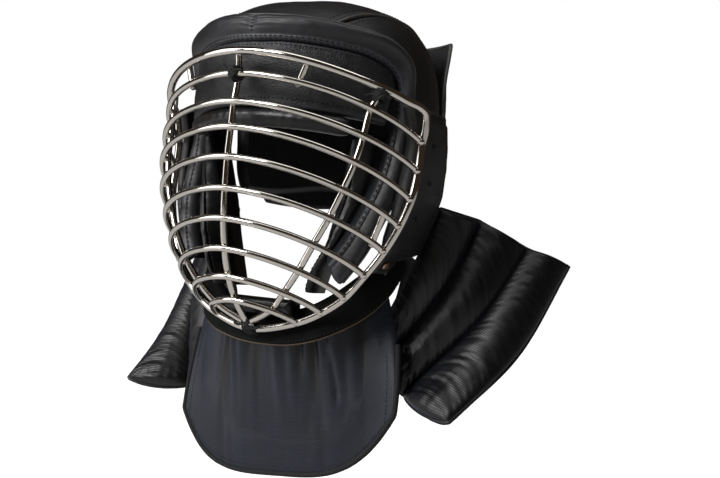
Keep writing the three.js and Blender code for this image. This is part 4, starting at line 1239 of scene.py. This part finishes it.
def buildBib():
    u, v = grid(260, 130, 0.15, 0.15)
    flat = bibPlain(u, v)
    folds = bibFolds(u, v)
    outer = flat + vec(0 * u, folds, 0 * u)
    thickness = bib["thickness"]
    hollow = roundOff(edgeDistance(flat), 5)
    inner = outer + vec(0 * u, mix(2.2, thickness, hollow), 0 * u)
    outer = outer + vec(0 * u, mix(0.8, 0, hollow), 0 * u)
    # painted shade: the satin's colour is darkened where the gathers sink back into valleys
    valleyShade = np.clip(0.4 * folds, 0, 0.95)
    piece = wallObject("bib_satin", outer, inner, [bibSatin, liningTwill], valleyShade, 1)
    finishPad(piece, "throat_bib")
    middle = (outer + inner) / 2
    start = int(np.searchsorted(v[0], bib["bindingStart"]))
    line = np.vstack([middle[0, start:], middle[1:, -1], middle[-1, -2:start - 1:-1]])
    count = len(line)
    centre = np.array([0.0, 0.0, -200.0])
    ahead = np.gradient(line, axis=0)
    away = unit(vec(ahead[:, 2], np.zeros(count), -ahead[:, 0]))
    away = away * np.where(np.sum(away * (line - centre), axis=1, keepdims=True) < 0, -1, 1)
    tape = Bag()
    keep, _, shares = evenly(line + away * (bib["tape"] * 0.55), 2.2)
    tubeInto(tape, keep, bib["tape"] + 0.12 * dents(keep, 5, 3.3), 12)
    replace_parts(makeTrim("bib_tape", tape, tapeBinding), "bib_binding")
    read = readGrid(outer, u[:, 0], v[0], np.array([0.0, 60.0, -200.0]))
    thread = Bag()
    stitchRow(thread, *read(np.linspace(0.03, 0.97, 260), 0.965), bib["stitch"])
    stitchRow(thread, *read(0.972, np.linspace(0.3, 0.97, 120)), bib["stitch"])
    stitchRow(thread, *read(0.028, np.linspace(0.3, 0.97, 120)), bib["stitch"])
    makeTrim("bib_stitches", thread, threadGrey)


buildBib()
print("bib done")

# Shoulder flaps: three stuffed channels each, gathered at the front end

flap = {
    "fronts": [(84, 22, -126), (88, 24, -162), (104, 20, -193), (161, -6, -204)],
    "middles": [(101, 27, -86), (122, 40, -106), (150, 48, -130), (183, 54, -154)],
    "backs": [(114, 34.6, -42.8), (132, 68, -50), (166, 90, -70), (195, 110, -82)],
    "channels": 3, "seamHalf": 1.1, "padHalf": 9.6, "smoothing": 12,
    "rightShifts": [(0, 0), (8, 16), (22, 20), (17, 8)],  # out and down of the right flap's front ends
    "roundEnd": 5, "endSwell": 6, "allowance": 13, "allowanceHalf": 0.8, "edgeRadius": 1.35,
    "wrinkle": 0.95, "gather": 1.7, "fill": 0.75, "rows": 160, "columns": 200,
    "stitch": {"spacing": 4.0, "length": 2.8, "radius": 0.42, "proud": 0.25},
}


def flapLine(k, side):
    out, down = flap["rightShifts"][k] if side < 0 else (0, 0)
    fx, fy, fz = flap["fronts"][k]
    mx, my, mz = flap["middles"][k]
    bx, by, bz = flap["backs"][k]
    front = (side * (fx + out), fy, fz - down)
    return smoothLine([front, (side * mx, my, mz - down / 2), (side * bx, by, bz)])


def flapMiddle(side, u, v):
    lines = np.stack([flapLine(k, side)(v) for k in range(flap["channels"] + 1)])
    place = u * flap["channels"]
    k = np.clip(np.floor(place).astype(int), 0, flap["channels"] - 1)
    low = np.take_along_axis(lines, k[None, ..., None], axis=0)[0]
    high = np.take_along_axis(lines, k[None, ..., None] + 1, axis=0)[0]
    return blendPoints(low, high, place - k)


def buildFlap(side, word):
    u, v = grid(flap["rows"], flap["columns"], 0.0, 0.35)
    middle = flapMiddle(side, u, v)
    normals = unit(np.cross(np.gradient(middle, axis=0), np.gradient(middle, axis=1)))
    for _ in range(flap["smoothing"]):
        normals = unit(normals + np.roll(normals, 1, axis=0) * (u > 0.01)[..., None]
                       + np.roll(normals, -1, axis=0) * (u < 0.99)[..., None])
    normals = normals * np.sign(np.sum(normals * [side, -0.4, 0.3]))
    ahead = unit(np.gradient(middle, axis=1))
    place = u * flap["channels"]
    swell = np.abs(np.sin(math.pi * place)) ** 0.55
    fromFront = edgeDistance(middle, "u")
    fromBack = edgeDistance(middle, "d")
    ends = roundOff(fromFront, flap["roundEnd"]) ** 0.8 * roundOff(fromBack, flap["roundEnd"]) ** 0.8
    channel = np.floor(np.clip(place, 0, 2.999))
    across = place - channel
    seed = 51.0 + 9 * side
    slant = fromFront + 9 * (across - 0.5) ** 2 * 4
    cross = dents(vec(across * 1.1 + channel * 7, slant / 8.5, channel * 3), 1.0, seed)
    fine = dents(vec(across * 2.2 + channel * 5, slant / 4.0, channel), 1.0, seed + 5)
    drift = 2 * dents(vec(slant / 30, channel, across), 1.0, seed)
    pucker = 2.2 * np.sin(slant * 1.05 + drift) * hump(swell, 0.35, 0.3)
    front = np.exp(-fromFront / 16)
    pleat = dents(vec(across * 9 + channel * 4, slant / 40, channel), 1.0, seed + 11) * front
    wrinkles = 1.5 * cross + 0.7 * fine + 0.3 * pucker
    wave = flap["wrinkle"] * wrinkles * (0.6 + 1.3 * front) + flap["gather"] * pleat
    half = flap["seamHalf"] + swell * ends * (flap["padHalf"] + wave)
    middle = middle - ahead * (flap["endSwell"] * swell * np.exp(-fromFront / 6))[..., None]
    outer = middle + normals * half[..., None]
    back = flap["seamHalf"] + swell * ends * (flap["padHalf"] - 0.6 * wave)
    inner = middle - normals * back[..., None]
    # painted shade: the satin's colour is darkened in the dents between the wrinkles
    valleyShade = 0.5 * np.clip(0.6 - wave, 0, 1)
    piece = wallObject(f"flap_satin_{word}", outer, inner, [flapSatin, liningTwill], valleyShade, 1)
    finishPad(piece, f"shoulder_flap_{word}")
    thread = Bag()
    reach = np.linspace(0.015, 0.985, 200)
    for k in (1, 2):
        row = int(round(k / flap["channels"] * (flap["rows"] - 1)))
        line = outer[row] + normals[row] * 0.3
        stitchRow(thread, line, normals[row], flap["stitch"])
    makeTrim(f"flap_stitches_{word}", thread, threadGrey)
    edge = Bag()
    loop = np.vstack([middle[:, 0], middle[-1, 1:], middle[-2::-1, -1], middle[0, -2:0:-1]])
    keep = evenly(np.vstack([loop, loop[:1]]), 2.4)[0]
    tubeInto(edge, keep, flap["edgeRadius"], 10, closed=True)
    makeTrim(f"flap_edge_{word}", edge, flapSatin)
    # a strip of satin stands on the front half of the upper edge and widens toward the middle
    lower = v[0] <= 0.5
    start, outward = middle[0, lower], unit(middle[0, lower] - middle[8, lower])
    reach = np.linspace(-1, 1, 8)[:, None, None] * (flap["allowance"] * 2 * v[0, lower])[None, :, None]
    face = start + outward * np.clip(reach, -1, None)
    half = normals[0, lower] * flap["allowanceHalf"]
    facing = wallObject(f"flap_facing_{word}", face + half, face - half, [flapSatin, liningTwill], 0.0, 1)
    across, along = np.diff(face, axis=0)[:, :-1], np.diff(face, axis=1)[:-1]


for side, word in ((-1, "right"), (1, "left")):
    buildFlap(side, word)
print("flaps done")

# Floor, light and camera

studio = {
    "floorZ": -0.44, "floorRadius": 6.0, "floorSides": 96,
    "roomColour": "#a8927c", "roomStrength": 0.09, "wallColour": "#ffffff",
    "keyFrom": (-0.36, -0.80, 0.55), "keyStrength": 2.0, "keyWidth": 24, "leftPower": 9, "topPower": 5.5,
}


def buildFloor():
    radius, height, sides = studio["floorRadius"], studio["floorZ"], studio["floorSides"]
    turn = np.linspace(0, 2 * math.pi, sides, endpoint=False)
    points = [(0, 0, height)] + [(radius * math.cos(a), radius * math.sin(a), height) for a in turn]
    faces = [(0, 1 + k, 1 + (k + 1) % sides) for k in range(sides)]
    mesh = bpy.data.meshes.new("studio_floor")
    mesh.from_pydata(points, [], faces)
    mesh.materials.append(paper)
    floor = bpy.data.objects.new("studio_floor", mesh)
    bpy.context.scene.collection.objects.link(floor)


def addLight(name, place, target, width, height, power, colour="#ffffff"):
    lamp = bpy.data.lights.new(name, "AREA")
    lamp.shape = "RECTANGLE"
    lamp.size, lamp.size_y = width, height
    lamp.energy = power
    lamp.color = linearColour(colour)[:3]
    holder = bpy.data.objects.new(name, lamp)
    holder.location = place
    holder.rotation_euler = (Vector(target) - Vector(place)).to_track_quat("-Z", "Y").to_euler()
    bpy.context.scene.collection.objects.link(holder)


def buildStudio():
    world = bpy.data.worlds.new("studio")
    world.use_nodes = True
    nodes, links = world.node_tree.nodes, world.node_tree.links
    room = nodes["Background"]
    room.inputs["Color"].default_value = linearColour(studio["roomColour"])
    room.inputs["Strength"].default_value = studio["roomStrength"]
    wall = nodes.new("ShaderNodeBackground")
    wall.inputs["Color"].default_value = linearColour(studio["wallColour"])
    seen = nodes.new("ShaderNodeLightPath")
    both = nodes.new("ShaderNodeMixShader")
    links.new(seen.outputs["Is Camera Ray"], both.inputs[0])
    links.new(room.outputs[0], both.inputs[1])
    links.new(wall.outputs[0], both.inputs[2])
    links.new(both.outputs[0], nodes["World Output"].inputs["Surface"])
    bpy.context.scene.world = world
    bpy.context.scene.view_settings.view_transform = "Standard"
    key = bpy.data.lights.new("soft_key", "SUN")
    key.energy = studio["keyStrength"]
    key.angle = math.radians(studio["keyWidth"])
    holder = bpy.data.objects.new("soft_key", key)
    holder.rotation_euler = (-Vector(studio["keyFrom"])).to_track_quat("-Z", "Y").to_euler()
    bpy.context.scene.collection.objects.link(holder)
    middle = (0, 0, -0.15)
    addLight("soft_left", (-1.3, -1.2, 0.35), middle, 0.7, 1.4, studio["leftPower"])
    addLight("soft_top", (0.1, -0.2, 1.3), middle, 1.2, 0.8, studio["topPower"])


# turns in degrees, the focal length and the image's width in pixels, the eye in metres
view = {
    "turn": 34.88, "rise": -0.46, "roll": -4.2, "focal": 1172.2, "imageWidth": 720,
    "eye": (0.59899, -0.80452, -0.18711),
}


def buildCamera():
    a, e, roll = (math.radians(view[k]) for k in ("turn", "rise", "roll"))
    right = np.array([math.cos(a), math.sin(a), 0.0])
    ahead = np.array([-math.sin(a) * math.cos(e), math.cos(a) * math.cos(e), -math.sin(e)])
    up = np.cross(right, ahead)
    x = math.cos(roll) * right - math.sin(roll) * up
    y = math.sin(roll) * right + math.cos(roll) * up
    lens = bpy.data.cameras.new("camera")
    lens.sensor_fit = "HORIZONTAL"
    lens.sensor_width = 36
    lens.lens = view["focal"] / view["imageWidth"] * lens.sensor_width
    camera = bpy.data.objects.new("camera", lens)
    spin = Matrix([[x[k], y[k], -ahead[k]] for k in range(3)]).to_4x4()
    camera.matrix_world = Matrix.Translation(view["eye"]) @ spin
    bpy.context.scene.collection.objects.link(camera)
    bpy.context.scene.camera = camera


buildFloor()
buildStudio()
buildCamera()
